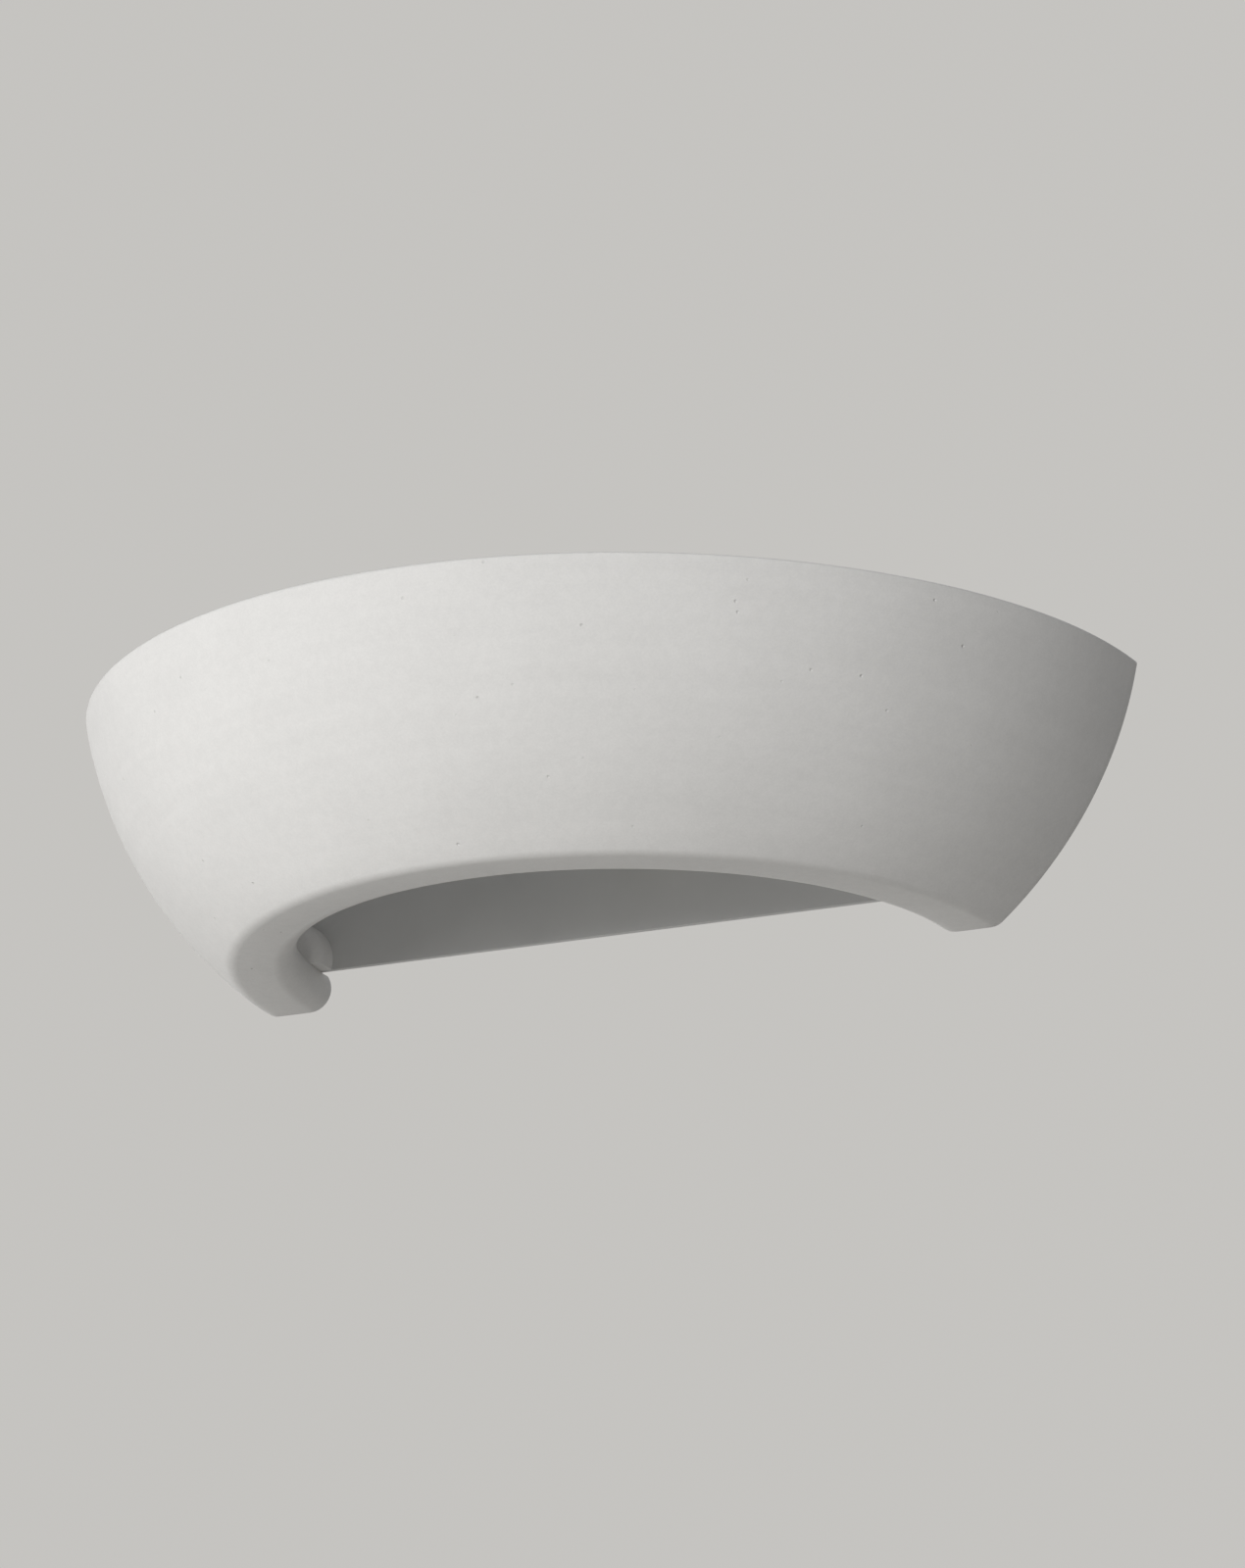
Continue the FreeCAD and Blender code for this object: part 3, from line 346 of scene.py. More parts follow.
# %% [markdown]
# ### Opal globe and striped earth wire
# The globe's opal plastic lets light in a little way and scatters it, so it looks soft and deep rather than
# painted. The earth wire carries yellow stripes along its green, which are drawn here across the wire's own
# run.

# %% Opal
OPAL = (0.83, 0.82, 0.79)
OPAL_DEPTH = (0.004, 0.0036, 0.003)

opal, tree, shader = finish(
    "opal_globe", OPAL, 0.34, Subsurface_Weight=0.35, Subsurface_Radius=OPAL_DEPTH, Subsurface_Scale=1.0
)
frost = noise(tree, 1800, 2)
haze = noise(tree, 35, 2)
tree.links.new(shade(tree, (*OPAL, 1), spread(tree, haze), 0.97), shader.inputs["Base Color"])
tree.links.new(remap(tree, haze, 0.3, 0.7, 0.30, 0.40), shader.inputs["Roughness"])
tree.links.new(bump(tree, frost, 0.006), shader.inputs["Normal"])
print(opal.name, len(tree.nodes), "nodes")

# %% Stripes
STRIPE_PITCH = 5.0
WAVE_STRETCH = 3.2
GREEN, YELLOW = (0.055, 0.26, 0.035, 1), (0.72, 0.55, 0.03, 1)

striped, tree, shader = finish("green_and_yellow_insulation", (0.10, 0.33, 0.04), 0.40)
where = tree.nodes.new("ShaderNodeTexCoord")
stripes = tree.nodes.new("ShaderNodeTexWave")
stripes.bands_direction = "DIAGONAL"
stripes.inputs["Scale"].default_value = 1 / (STRIPE_PITCH * MM * WAVE_STRETCH)
tree.links.new(where.outputs["Object"], stripes.inputs["Vector"])
two = tree.nodes.new("ShaderNodeMix")
two.data_type = "RGBA"
two.inputs[6].default_value = GREEN
two.inputs[7].default_value = YELLOW
tree.links.new(spread(tree, stripes.outputs["Fac"], 0.62, 0.68), two.inputs[0])
scuff = noise(tree, 900, 2)
tree.links.new(shade(tree, two.outputs[2], spread(tree, scuff), 0.88), shader.inputs["Base Color"])
tree.links.new(bump(tree, scuff, 0.02), shader.inputs["Normal"])
print(striped.name, len(tree.nodes), "nodes")

# %% [markdown]
# ## Tools for modelling
# A finished piece keeps its object at the origin. These helpers select one piece alone, edit it, apply a
# modifier, and spin a section as on a lathe.

# %% Selecting and editing


def alone(piece):
    """Select one piece and nothing else."""
    bpy.ops.object.select_all(action="DESELECT")
    piece.select_set(True)
    bpy.context.view_layer.objects.active = piece
    return piece


def named(name):
    """Name the piece that an operator has just added."""
    piece = bpy.context.object
    piece.name = name
    piece.data.name = name
    return piece


def settle(piece):
    """Move a piece's place and turn into its mesh."""
    alone(piece)
    bpy.ops.object.transform_apply(location=True, rotation=True, scale=True)
    return piece


def modify(piece, kind, **settings):
    """Add a modifier, set it up and apply it."""
    alone(piece)
    modifier = piece.modifiers.new(kind.title(), kind)
    for setting, value in settings.items():
        setattr(modifier, setting, value)
    bpy.ops.object.modifier_apply(modifier=modifier.name)
    return piece


def bevel(piece, width, segments, degrees, **settings):
    """Break the edges that are sharper than an angle, by a width in millimetres."""
    return modify(
        piece, "BEVEL", width=width * MM, segments=segments, limit_method="ANGLE",
        angle_limit=math.radians(degrees), **settings,
    )


def carve(piece, tool, operation="DIFFERENCE"):
    """Join a tool to a piece, or cut it away, and throw the tool away."""
    modify(piece, "BOOLEAN", object=tool, operation=operation, solver="EXACT")
    bpy.data.objects.remove(tool)
    return piece


def dress(piece, material, slot, body, *nodes):
    """Give a finished piece its material, its body and the CAD nodes that it stands for. The slot is not used.
    """
    piece.data.materials.clear()
    piece.data.materials.append(material)
    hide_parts(*nodes)
    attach(piece, body)
    print(piece.name, len(piece.data.polygons), "faces")
    return piece


# %% [markdown]
# Edit mode works on what is selected. By hand that is a click; here vertices and faces are picked by where
# they lie or which way they face, which still holds when a size changes.

# %% Picking by place


def mode(name):
    """Go to edit mode or object mode."""
    bpy.ops.object.mode_set(mode=name)


def pick_nothing(piece, kind):
    """Get ready to select a piece's vertices or faces, with none of them selected."""
    alone(piece)
    mode("EDIT")
    bpy.ops.mesh.select_mode(type=kind)
    bpy.ops.mesh.select_all(action="DESELECT")
    mode("OBJECT")


def pick(piece, wanted):
    """Select a piece's vertices by their place in millimetres, and leave it in edit mode."""
    pick_nothing(piece, "VERT")
    for vertex in piece.data.vertices:
        vertex.select = wanted(vertex.co / MM)
    mode("EDIT")


def done(piece):
    """Leave edit mode with the normals outwards."""
    bpy.ops.mesh.select_all(action="SELECT")
    bpy.ops.mesh.normals_make_consistent(inside=False)
    mode("OBJECT")
    return piece


def outwards(piece):
    """Turn all of a piece's faces outwards."""
    pick(piece, lambda place: True)
    return done(piece)


def pick_faces(piece, wanted):
    """Select a piece's faces by their centre in millimetres and their normal, and leave it in edit mode."""
    pick_nothing(piece, "FACE")
    for face in piece.data.polygons:
        face.select = wanted(face.center / MM, face.normal)
    mode("EDIT")


# %% [markdown]
# Most of this object is turned or moulded round, so most pieces start as a section. A circle's corners are
# moved to the section's points, and the spin operator turns it about Z. Cubes and cylinders serve for the
# rest.

# %% Lathe and blanks


def arc(centre, radius, start, end, steps):
    """Points of an arc in a section, with its angles in degrees."""
    turns = [math.radians(start + (end - start) * i / steps) for i in range(steps + 1)]
    return [(centre[0] + radius * math.cos(t), centre[1] + radius * math.sin(t)) for t in turns]


def drawn(name, outline):
    """A closed line through (radius, height) points in millimetres, in the XZ plane."""
    bpy.ops.object.select_all(action="DESELECT")
    bpy.ops.mesh.primitive_circle_add(vertices=len(outline), radius=MM)
    piece = named(name)
    for vertex, (radius, height) in zip(piece.data.vertices, outline):
        vertex.co = (radius * MM, 0, height * MM)
    return piece


def lathe(name, outline, steps=96, turn=360):
    """Spin a closed section of (radius, height) points about Z."""
    piece = drawn(name, outline)
    mode("EDIT")
    bpy.ops.mesh.select_all(action="SELECT")
    bpy.ops.mesh.spin(steps=steps, angle=math.radians(turn), center=(0, 0, 0), axis=(0, 0, 1))
    bpy.ops.mesh.select_all(action="SELECT")
    bpy.ops.mesh.remove_doubles(threshold=1e-6)
    bpy.ops.mesh.delete_loose()
    return done(piece)


def cornered(name, corner):
    """A cube whose corners go where a function of their signs in X, Y and Z says."""
    bpy.ops.object.select_all(action="DESELECT")
    bpy.ops.mesh.primitive_cube_add(size=2 * MM)
    piece = named(name)
    for vertex in piece.data.vertices:
        vertex.co = corner(*(round(part / MM) for part in vertex.co))
    return piece


def cylinder(name, radius, length, sides, middle=0):
    """A cylinder about the Z axis, with the height of its middle."""
    bpy.ops.object.select_all(action="DESELECT")
    bpy.ops.mesh.primitive_cylinder_add(
        vertices=sides, radius=radius * MM, depth=length * MM, location=(0, 0, middle * MM)
    )
    return settle(named(name))


def stand(x, y, z, turn, axis):
    """The matrix of a place in millimetres and a turn about an axis."""
    return Matrix.Translation(Vector((x, y, z)) * MM) @ Matrix.Rotation(math.radians(turn), 4, axis)


def aim(piece, x, y, z, turn, axis):
    """Stand a piece that was made on the Z axis at a place, turned about an axis."""
    piece.matrix_world = stand(x, y, z, turn, axis)
    return settle(piece)


def smooth(piece, degrees=32):
    """Shade a piece smooth, but for edges sharper than an angle."""
    alone(piece)
    bpy.ops.object.shade_smooth_by_angle(angle=math.radians(degrees))
    return piece


def box_text(piece):
    """A piece's box in millimetres, to print."""
    return [round(v / MM, 1) for c in (piece.bound_box[0], piece.bound_box[6]) for v in c]


# %% [markdown]
# ## The shell
# Its section is a thick bow: two arcs about one centre, a flat foot with a round inner lip, and a flat rim
# with eased edges. Spinning that section half a turn gives the shell. Heights count from the underside, and
# the finished mesh is lowered so that the wall screws are at zero.

# %% Shell section
TOP_RADIUS = 175.18
FOOT_RADIUS = 127.1
SHELL_HEIGHT = 81.5
SHELL_BULGE = 8.6
SHELL_WALL = 21.7
LIP_ROUND = 7.5
FOOT_ROUND = 6.5
RIM_ROUND = 1.2
RIM_INNER_ROUND = 4.0
SCREW_LINE = 48.0

chord = math.hypot(TOP_RADIUS - FOOT_RADIUS, SHELL_HEIGHT)
outer_bow = (chord**2 / 4 + SHELL_BULGE**2) / (2 * SHELL_BULGE)
inner_bow = outer_bow - SHELL_WALL
away = (outer_bow - SHELL_BULGE) / chord
bow_centre = (
    (TOP_RADIUS + FOOT_RADIUS) / 2 - away * SHELL_HEIGHT,
    SHELL_HEIGHT / 2 + away * (TOP_RADIUS - FOOT_RADIUS),
)


def beside_bow(bow, height):
    """The point of a height on an arc about the bow's centre, and its angle in degrees."""
    across = math.sqrt(bow**2 - (bow_centre[1] - height) ** 2)
    angle = math.degrees(math.atan2(height - bow_centre[1], across))
    return (bow_centre[0] + across, height), angle


def inner_radius(height):
    """The shell's inner radius at a height above its underside."""
    return beside_bow(inner_bow, height)[0][0]


lip, lip_angle = beside_bow(inner_bow + LIP_ROUND, LIP_ROUND)
foot, foot_angle = beside_bow(outer_bow - FOOT_ROUND, FOOT_ROUND)
rim, rim_angle = beside_bow(outer_bow - RIM_ROUND, SHELL_HEIGHT - RIM_ROUND)
rim_inner, rim_inner_angle = beside_bow(inner_bow + RIM_INNER_ROUND, SHELL_HEIGHT - RIM_INNER_ROUND)
section = (
    arc(lip, LIP_ROUND, lip_angle + 180, 270, 12)
    + arc(foot, FOOT_ROUND, -90, foot_angle, 8)
    + arc(bow_centre, outer_bow, foot_angle, rim_angle, 36)[1:-1]
    + arc(rim, RIM_ROUND, rim_angle, 90, 6)
    + arc(rim_inner, RIM_INNER_ROUND, 90, 180 + rim_inner_angle, 8)
    + arc(bow_centre, inner_bow, rim_inner_angle, lip_angle, 30)[1:-1]
)
section = [(radius, height - SCREW_LINE) for radius, height in section]
print("section points", len(section), "widest", round(max(radius for radius, _ in section), 2))

# %% [markdown]
# The two ends against the wall are closed with a flat face. A hand-finished shell isn't perfectly even, so
# its skin is pushed in here and there by up to two tenths of a millimetre before its lugs and cuts are
# made.

# %% Spin the shell
SHELL_STEPS = 140
END_EASE = 0.6
UNEVEN_DEPTH = 0.2
UNEVEN_SIZE = 0.055

shell = lathe("plaster_shell", section, steps=SHELL_STEPS, turn=180)
for side in (-1, 1):
    pick(shell, lambda place: abs(place.y) < 0.001 and place.x * side > 0)
    bpy.ops.mesh.edge_face_add()
    mode("OBJECT")
pick(shell, lambda place: abs(place.y) < 0.001)
bpy.ops.mesh.select_mode(type="EDGE")
bpy.ops.mesh.bevel(offset=END_EASE * MM, segments=2, affect="EDGES")
done(shell)
unevenness = bpy.data.textures.new("unevenness", "CLOUDS")
unevenness.noise_scale = UNEVEN_SIZE
unevenness.noise_depth = 1
modify(
    shell, "DISPLACE", texture=unevenness, texture_coords="GLOBAL",
    mid_level=1.0, strength=UNEVEN_DEPTH * MM,
)
print("shell box", box_text(shell))

# %% [markdown]
# Four lugs stand inside the ends and hold the threaded inserts. The plate lies in a bed between them, and
# its slant sides follow the line through the lugs.

# %% Sizes of the lugs and the bed
LUG_RADIUS = 12.4
LUG_DEPTH = 10.0
LUG_ROUND = 3.5
LUG_INSET = 3.2
LUG_SHIFT = 2.0
LOW_LUG_HEIGHT = 17.5
HIGH_LUG_HEIGHT = 62.0
INSERT_RADIUS = 3.2
INSERT_LENGTH = 9.0
PLATE_SETBACK = 4.0
PLATE_SHEET = 2.0
PLATE_FRONT = -(PLATE_SETBACK + PLATE_SHEET)
PLATE_RISE = 12.0
PLATE_TOP = 72.0
PLATE_MARGIN = 0.65
WASHER_RADIUS = 4.4
REBATE_GAP = 0.4
LUG_ROOT = -3.0

low_lug, high_lug = (inner_radius(height) + LUG_INSET for height in (LOW_LUG_HEIGHT, HIGH_LUG_HEIGHT))
lug_places = [
    (side * across, height - SCREW_LINE)
    for side in (-1, 1)
    for across, height in ((low_lug, LOW_LUG_HEIGHT), (high_lug, HIGH_LUG_HEIGHT))
]
lug_lean = (high_lug - low_lug) / (HIGH_LUG_HEIGHT - LOW_LUG_HEIGHT)


def plate_edge(height, margin):
    """Half the plate's width at a height above the underside, as in the CAD."""
    lug = low_lug + lug_lean * (height - LOW_LUG_HEIGHT)
    return lug + (WASHER_RADIUS + PLATE_MARGIN + margin) * math.hypot(1, lug_lean)


def plate_slab(name, margin, front, back):
    """The plate's outline, grown by a margin, from a front plane to a back plane."""
    def corner(x, y, z):
        height = PLATE_TOP + margin if z > 0 else PLATE_RISE - margin
        return Vector((x * plate_edge(height, margin), back if y > 0 else front, height - SCREW_LINE)) * MM

    return cornered(name, corner)


print("lugs", [(round(x, 1), round(z, 1)) for x, z in lug_places])

# %% [markdown]
# Each lug is a short round post with a soft edge, joined to the shell. The lower two are cut flat where the
# plate ends. Then the bed and the four holes are cut. Exact booleans keep all these edges crisp, as a mould
# does.

# %% Lugs, bed and holes
lug_reach = LUG_DEPTH - PLATE_FRONT + LUG_ROOT
lug_section = [(0, 0), (LUG_RADIUS, 0)]
lug_section += arc((LUG_RADIUS - LUG_ROUND, lug_reach - LUG_ROUND), LUG_ROUND, 0, 90, 8) + [(0, lug_reach)]
for x, z in lug_places:
    inwards = x - math.copysign(LUG_SHIFT, x)
    lug = aim(lathe("lug", lug_section, steps=72), inwards, LUG_ROOT, z - LUG_SHIFT, 90, "X")
    if z < 0:
        pick(lug, lambda place: True)
        level = (PLATE_RISE - SCREW_LINE) * MM
        bpy.ops.mesh.bisect(plane_co=(0, 0, level), plane_no=(0, 0, 1), clear_inner=True, use_fill=True)
        done(lug)
    carve(shell, lug, "UNION")
carve(shell, plate_slab("bed", REBATE_GAP, PLATE_FRONT, 1.0))
for x, z in lug_places:
    hole = cylinder("insert_hole", INSERT_RADIUS, 2 * INSERT_LENGTH, 48)
    carve(shell, aim(hole, x, PLATE_FRONT, z, 90, "X"))
dress(smooth(shell, 28), plaster, "plaster", "fixture", "shell")

# %% [markdown]
# ## The wall plate
# The real plate is one sheet of steel. Two pads are pressed back to the wall, with sloping sides and
# rounded bends, and each has a slot for a wall screw. Here a flat outline is cut along the pads' edges with
# bisect, the pads are inset and pushed back, and then the sheet gets its thickness.

# %% Wall plate
SLOT_SPACING = 150.0
SLOT_LENGTH = 14.0
SLOT_WIDTH = 5.2
PAD_LENGTH = 30.0
PAD_HEIGHT = 18.0
PAD_SLOPE = 2.2
PAD_BEND = 1.5

bpy.ops.object.select_all(action="DESELECT")
bpy.ops.mesh.primitive_plane_add(size=2 * MM, rotation=(math.radians(90), 0, 0))
plate = settle(named("steel_plate"))
for vertex in plate.data.vertices:
    height = PLATE_TOP if vertex.co.z > 0 else PLATE_RISE
    across = math.copysign(plate_edge(height, 0), vertex.co.x)
    vertex.co = Vector((across, PLATE_FRONT, height - SCREW_LINE)) * MM
alone(plate)
mode("EDIT")
cuts = [((0, 0, side * PAD_HEIGHT / 2), (0, 0, 1)) for side in (-1, 1)]
for middle in (-SLOT_SPACING / 2, SLOT_SPACING / 2):
    cuts += [((middle + side * PAD_LENGTH / 2, 0, 0), (1, 0, 0)) for side in (-1, 1)]
for place, normal in cuts:
    bpy.ops.mesh.select_all(action="SELECT")
    bpy.ops.mesh.bisect(plane_co=Vector(place) * MM, plane_no=normal)
mode("OBJECT")
pick_faces(plate, lambda centre, normal: abs(abs(centre.x) - SLOT_SPACING / 2) < 1 and abs(centre.z) < 1)
bpy.ops.mesh.inset(thickness=PAD_SLOPE * MM)
bpy.ops.transform.translate(value=(0, PLATE_SETBACK * MM, 0))
mode("OBJECT")
bevel(plate, PAD_BEND, 3, 30)
modify(plate, "SOLIDIFY", thickness=PLATE_SHEET * MM, offset=-1.0, use_even_offset=True)
print("plate box", box_text(plate))

# %% [markdown]
# The slots, the screw holes, the cable's entry and the block's hole are punched. A slot's tool is a
# cylinder with one half moved along, which makes it an oblong. A small bevel then breaks the sheet's edges.

# %% Slots and holes
PLATE_EASE = 0.35
HOLE_RADIUS = 2.25
TOOL_LENGTH = 30.0
ENTRY_X, ENTRY_Z, ENTRY_HOLE = 46.0, 2.0, 8.0
BLOCK_X, BLOCK_Z, BLOCK_HOLE = 18.0, -2.0, 1.55

for side in (-1, 1):
    slot_tool = aim(cylinder("slot_tool", SLOT_WIDTH / 2, TOOL_LENGTH, 48), 0, 0, 0, 90, "X")
    pick(slot_tool, lambda place: place.x > 0.01)
    bpy.ops.transform.translate(value=((SLOT_LENGTH - SLOT_WIDTH) * MM, 0, 0))
    mode("OBJECT")
    slot_tool.location.x = (side * SLOT_SPACING / 2 - (SLOT_LENGTH - SLOT_WIDTH) / 2) * MM
    carve(plate, settle(slot_tool))
holes = [(x, z, HOLE_RADIUS) for x, z in lug_places]
holes += [(ENTRY_X, ENTRY_Z, ENTRY_HOLE), (BLOCK_X, BLOCK_Z, BLOCK_HOLE)]
for x, z, radius in holes:
    carve(plate, aim(cylinder("hole_tool", radius, TOOL_LENGTH, 64), x, 0, z, 90, "X"))
bevel(plate, PLATE_EASE, 2, 60)
dress(smooth(plate, 35), coat, "white_powder_coat", "fixture", "wall_plate")

# %% [markdown]
# ## Threads, nuts, washers and screws
# Small fasteners catch the eye from above and behind, so they get real threads, chamfers and recesses. A
# thread is one pitch of its profile, wound up by the Screw modifier and cut to length.

# %% Threads
THREAD_STEPS = 28


def overlap(piece, tool):
    """Keep what a piece and a tool share."""
    return carve(piece, tool, "INTERSECT")


def wind(name, profile, pitch, turns, steps):
    """Wind an open profile of (radius, height) points up the Z axis, one pitch a turn."""
    piece = drawn(name, profile)
    ends = [Vector((profile[i][0], 0, profile[i][1])) for i in (0, -1)]
    pick(piece, lambda place: any((place - end).length < 0.001 for end in ends))
    bpy.ops.mesh.delete(type="EDGE_FACE")
    mode("OBJECT")
    return modify(
        piece, "SCREW", axis="Z", steps=steps, render_steps=steps, iterations=turns,
        screw_offset=pitch * MM, use_merge_vertices=True, merge_threshold=1e-6,
    )


def cut_level(piece, height, upper, fill):
    """Cut a piece off level, above or below a height."""
    pick(piece, lambda place: True)
    bpy.ops.mesh.bisect(
        plane_co=(0, 0, height * MM), plane_no=(0, 0, 1),
        clear_outer=upper, clear_inner=not upper, use_fill=fill,
    )
    mode("OBJECT")


def threaded_rod(name, crest, depth, pitch, length, point):
    """A threaded rod up the Z axis, with a chamfered point."""
    profile = [
        (crest - depth, 0), (crest - depth, 0.15 * pitch), (crest, 0.45 * pitch), (crest, 0.6 * pitch),
        (crest - depth, 0.9 * pitch), (crest - depth, pitch),
    ]
    rod = wind(name, profile, pitch, math.ceil(length / pitch) + 2, THREAD_STEPS)
    for vertex in rod.data.vertices:
        vertex.co.z -= pitch * MM
    cut_level(rod, 0, False, True)
    cut_level(rod, length, True, True)
    outwards(rod)
    reach = crest + 0.2
    envelope = [(0, -1), (reach, -1), (reach, length - point - 0.2), (reach - point - 0.2, length), (0, length)]
    return overlap(rod, lathe("envelope", envelope, steps=THREAD_STEPS))


# %% [markdown]
# A nut is a six-sided prism cut by two shallow cones, which leaves the arcs that real nuts have on their
# corners. A washer is punched, so one side is rounder than the other. A cross recess tapers as the driver's
# tip does.

# %% Nuts, washers and recesses


def chamfered_nut(name, flats, height, bore):
    """A nut up the Z axis: a prism between two shallow cones, with a countersunk bore."""
    corner = flats / math.sqrt(3)
    face = flats / 2 * 0.97
    slope = (corner - flats / 2) * 0.62
    sink = 0.35
    cones = [(bore, sink), (bore + sink, 0), (face, 0), (corner + 0.1, slope)]
    cones += [(radius, height - z) for radius, z in reversed(cones)]
    return overlap(cylinder(name, corner, height, 6, height / 2), lathe("cones", cones, steps=96))


def soft_washer(name, bore, radius, sheet):
    """A punched washer: round on the side that the punch came from, sharper on the other."""
    section = [(bore, 0.06), (bore + 0.06, 0), (radius - 0.06, 0), (radius, 0.06)]
    section += arc((radius - 0.22, sheet - 0.22), 0.22, 0, 90, 4) + [(bore + 0.1, sheet), (bore, sheet - 0.1)]
    return lathe(name, section, steps=72)


def cross_recess(width, depth):
    """A tapered cross that a driver's tip fits, standing on the Z axis with its point down."""
    bpy.ops.object.select_all(action="DESELECT")
    bpy.ops.mesh.primitive_cube_add(size=MM)
    recess = named("recess")
    for vertex in recess.data.vertices:
        top = vertex.co.z > 0
        across = width / 2 if top else width / 4
        vertex.co.x = math.copysign(across, vertex.co.x) * MM
        vertex.co.y = math.copysign(width * 0.11 if top else width * 0.07, vertex.co.y) * MM
        vertex.co.z = (0.3 if top else -depth) * MM
    alone(recess)
    bpy.ops.object.duplicate()
    other = aim(bpy.context.object, 0, 0, 0, 90, "Z")
    return carve(recess, other, "UNION")


def copies(piece, places, turn, axis, spin=0):
    """Copy a piece that was made on the Z axis to each place, each turned a little more about its own axis."""
    made = []
    for number, (x, y, z) in enumerate(places, start=1):
        alone(piece)
        bpy.ops.object.duplicate()
        copy = named(f"{piece.name.split('.')[0]}_{number}")
        copy.matrix_world = stand(x, y, z, turn, axis) @ Matrix.Rotation(math.radians(spin * number), 4, "Z")
        made.append(settle(copy))
    bpy.data.objects.remove(piece)
    return made


# %% [markdown]
# ### Studs, washers and nuts
# The studs are welded to the plate and carry the bracket and the earth wire's ring, each under a washer and
# nut. Every kind is modelled once and copied, and no two nuts end up at the same angle.

# %% Studs, washers and nuts
THREAD_CREST = 1.98
THREAD_DEPTH = 0.36
THREAD_PITCH = 0.7
STUD_LENGTH = 8.0
BRACKET_SHEET = 1.5
WASHER_SHEET = 0.8
WASHER_BORE = 2.08
NUT_FLATS = 7.0
NUT_HEIGHT = 3.2
STUDS = [(-52.0, 0.0), (-40.0, 0.0)]
EARTH = (-24.0, -2.0)
RING_SHEET = 0.8
NUT_TURN = 17


def dress_row(row, bracket_node, earth_node):
    """Dress a row of fixings. The last one is the earth point's."""
    for copy in row:
        dress(copy, zinc, "zinc_steel", "fixture", earth_node if copy is row[-1] else bracket_node)


stud = smooth(threaded_rod("stud", THREAD_CREST, THREAD_DEPTH, THREAD_PITCH, STUD_LENGTH, 0.5), 50)
row = copies(stud, [(x, PLATE_FRONT, z) for x, z in STUDS + [EARTH]], 90, "X")
dress_row(row, "bracket_studs", "earth_stud")

seats = [(x, PLATE_FRONT - BRACKET_SHEET, z) for x, z in STUDS]
seats += [(EARTH[0], PLATE_FRONT - RING_SHEET, EARTH[1])]
washer = smooth(soft_washer("washer", WASHER_BORE, WASHER_RADIUS, WASHER_SHEET))
dress_row(copies(washer, seats, 90, "X"), "bracket_washers", "earth_washer")

nut = smooth(chamfered_nut("nut", NUT_FLATS, NUT_HEIGHT, WASHER_BORE), 20)
seats = [(x, y - WASHER_SHEET, z) for x, y, z in seats]
dress_row(copies(nut, seats, 90, "X", spin=NUT_TURN), "bracket_nuts", "earth_nut")

# %% [markdown]
# ### Screws behind the plate
# Pan-head screws with washers hold the plate to the shell from behind. Their threads lie hidden in the
# inserts, so the shank is plain, and the head gets its dome and its cross.

# %% Screws behind the plate
HEAD_RADIUS = 3.8
HEAD_HEIGHT = 2.4
HEAD_DOME = 1.7
SCREW_REACH = 7.0
SCREW_TURN = 23

back = -PLATE_SETBACK
pan = [(0, 0), (2.0, 0)] + arc((HEAD_RADIUS - HEAD_DOME, HEAD_DOME), HEAD_DOME, -90, 0, 8)[1:]
pan += [(HEAD_RADIUS, HEAD_HEIGHT - 0.1), (HEAD_RADIUS - 0.1, HEAD_HEIGHT), (THREAD_CREST, HEAD_HEIGHT)]
reach = HEAD_HEIGHT + WASHER_SHEET + PLATE_SHEET + SCREW_REACH
pan += [(THREAD_CREST, reach - 0.4), (THREAD_CREST - 0.4, reach), (0, reach)]
screw = lathe("plate_screw", pan, steps=48)
recess = cross_recess(3.6, 1.7)
for vertex in recess.data.vertices:
    vertex.co.z = -vertex.co.z
screw = smooth(carve(screw, outwards(recess)), 30)
heads = [(x, back + WASHER_SHEET + HEAD_HEIGHT, z) for x, z in lug_places]
for copy in copies(screw, heads, 90, "X", spin=SCREW_TURN):
    dress(copy, zinc, "zinc_steel", "fixture", "shell_screws")
washer = smooth(soft_washer("plate_washer", WASHER_BORE, WASHER_RADIUS, WASHER_SHEET))
for copy in copies(washer, [(x, back, z) for x, z in lug_places], -90, "X"):
    dress(copy, zinc, "zinc_steel", "fixture", "shell_washers")

# %% [markdown]
# ### Bent and punched parts
# Where a CAD piece has the right shape and only lacks broken edges, a copy of it is merged, freed of its
# inner triangle lines, and given a small bevel.

# %% Eased copies


def eased(node, width):
    """A copy of a CAD node with its sharp edges broken."""
    alone(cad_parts[node])
    bpy.ops.object.duplicate()
    copy = named(f"eased_{node}")
    copy.hide_render = False
    pick(copy, lambda place: True)
    bpy.ops.mesh.remove_doubles(threshold=1e-6)
    bpy.ops.mesh.dissolve_limited(angle_limit=math.radians(0.5))
    bpy.ops.mesh.customdata_custom_splitnormals_clear()
    done(copy)
    return smooth(bevel(copy, width, 2, 40, use_clamp_overlap=True), 30)


dress(eased("lamp_bracket", 0.25), zinc, "zinc_steel", "fixture", "lamp_bracket")
dress(eased("earth_ring", 0.15), nickel, "nickel", "fixture", "earth_ring")

# %% [markdown]
# ### Grommet
# A rubber grommet grips the plate's edge in a groove between two fat lips. Its section is two half-rounds
# with the groove between them, spun about the cable.

# %% Grommet
ENTRY_BORE = 4.5
GROMMET_RADIUS = 11.0
GROMMET_LIP = 1.8
BORE_ROUND = 0.8

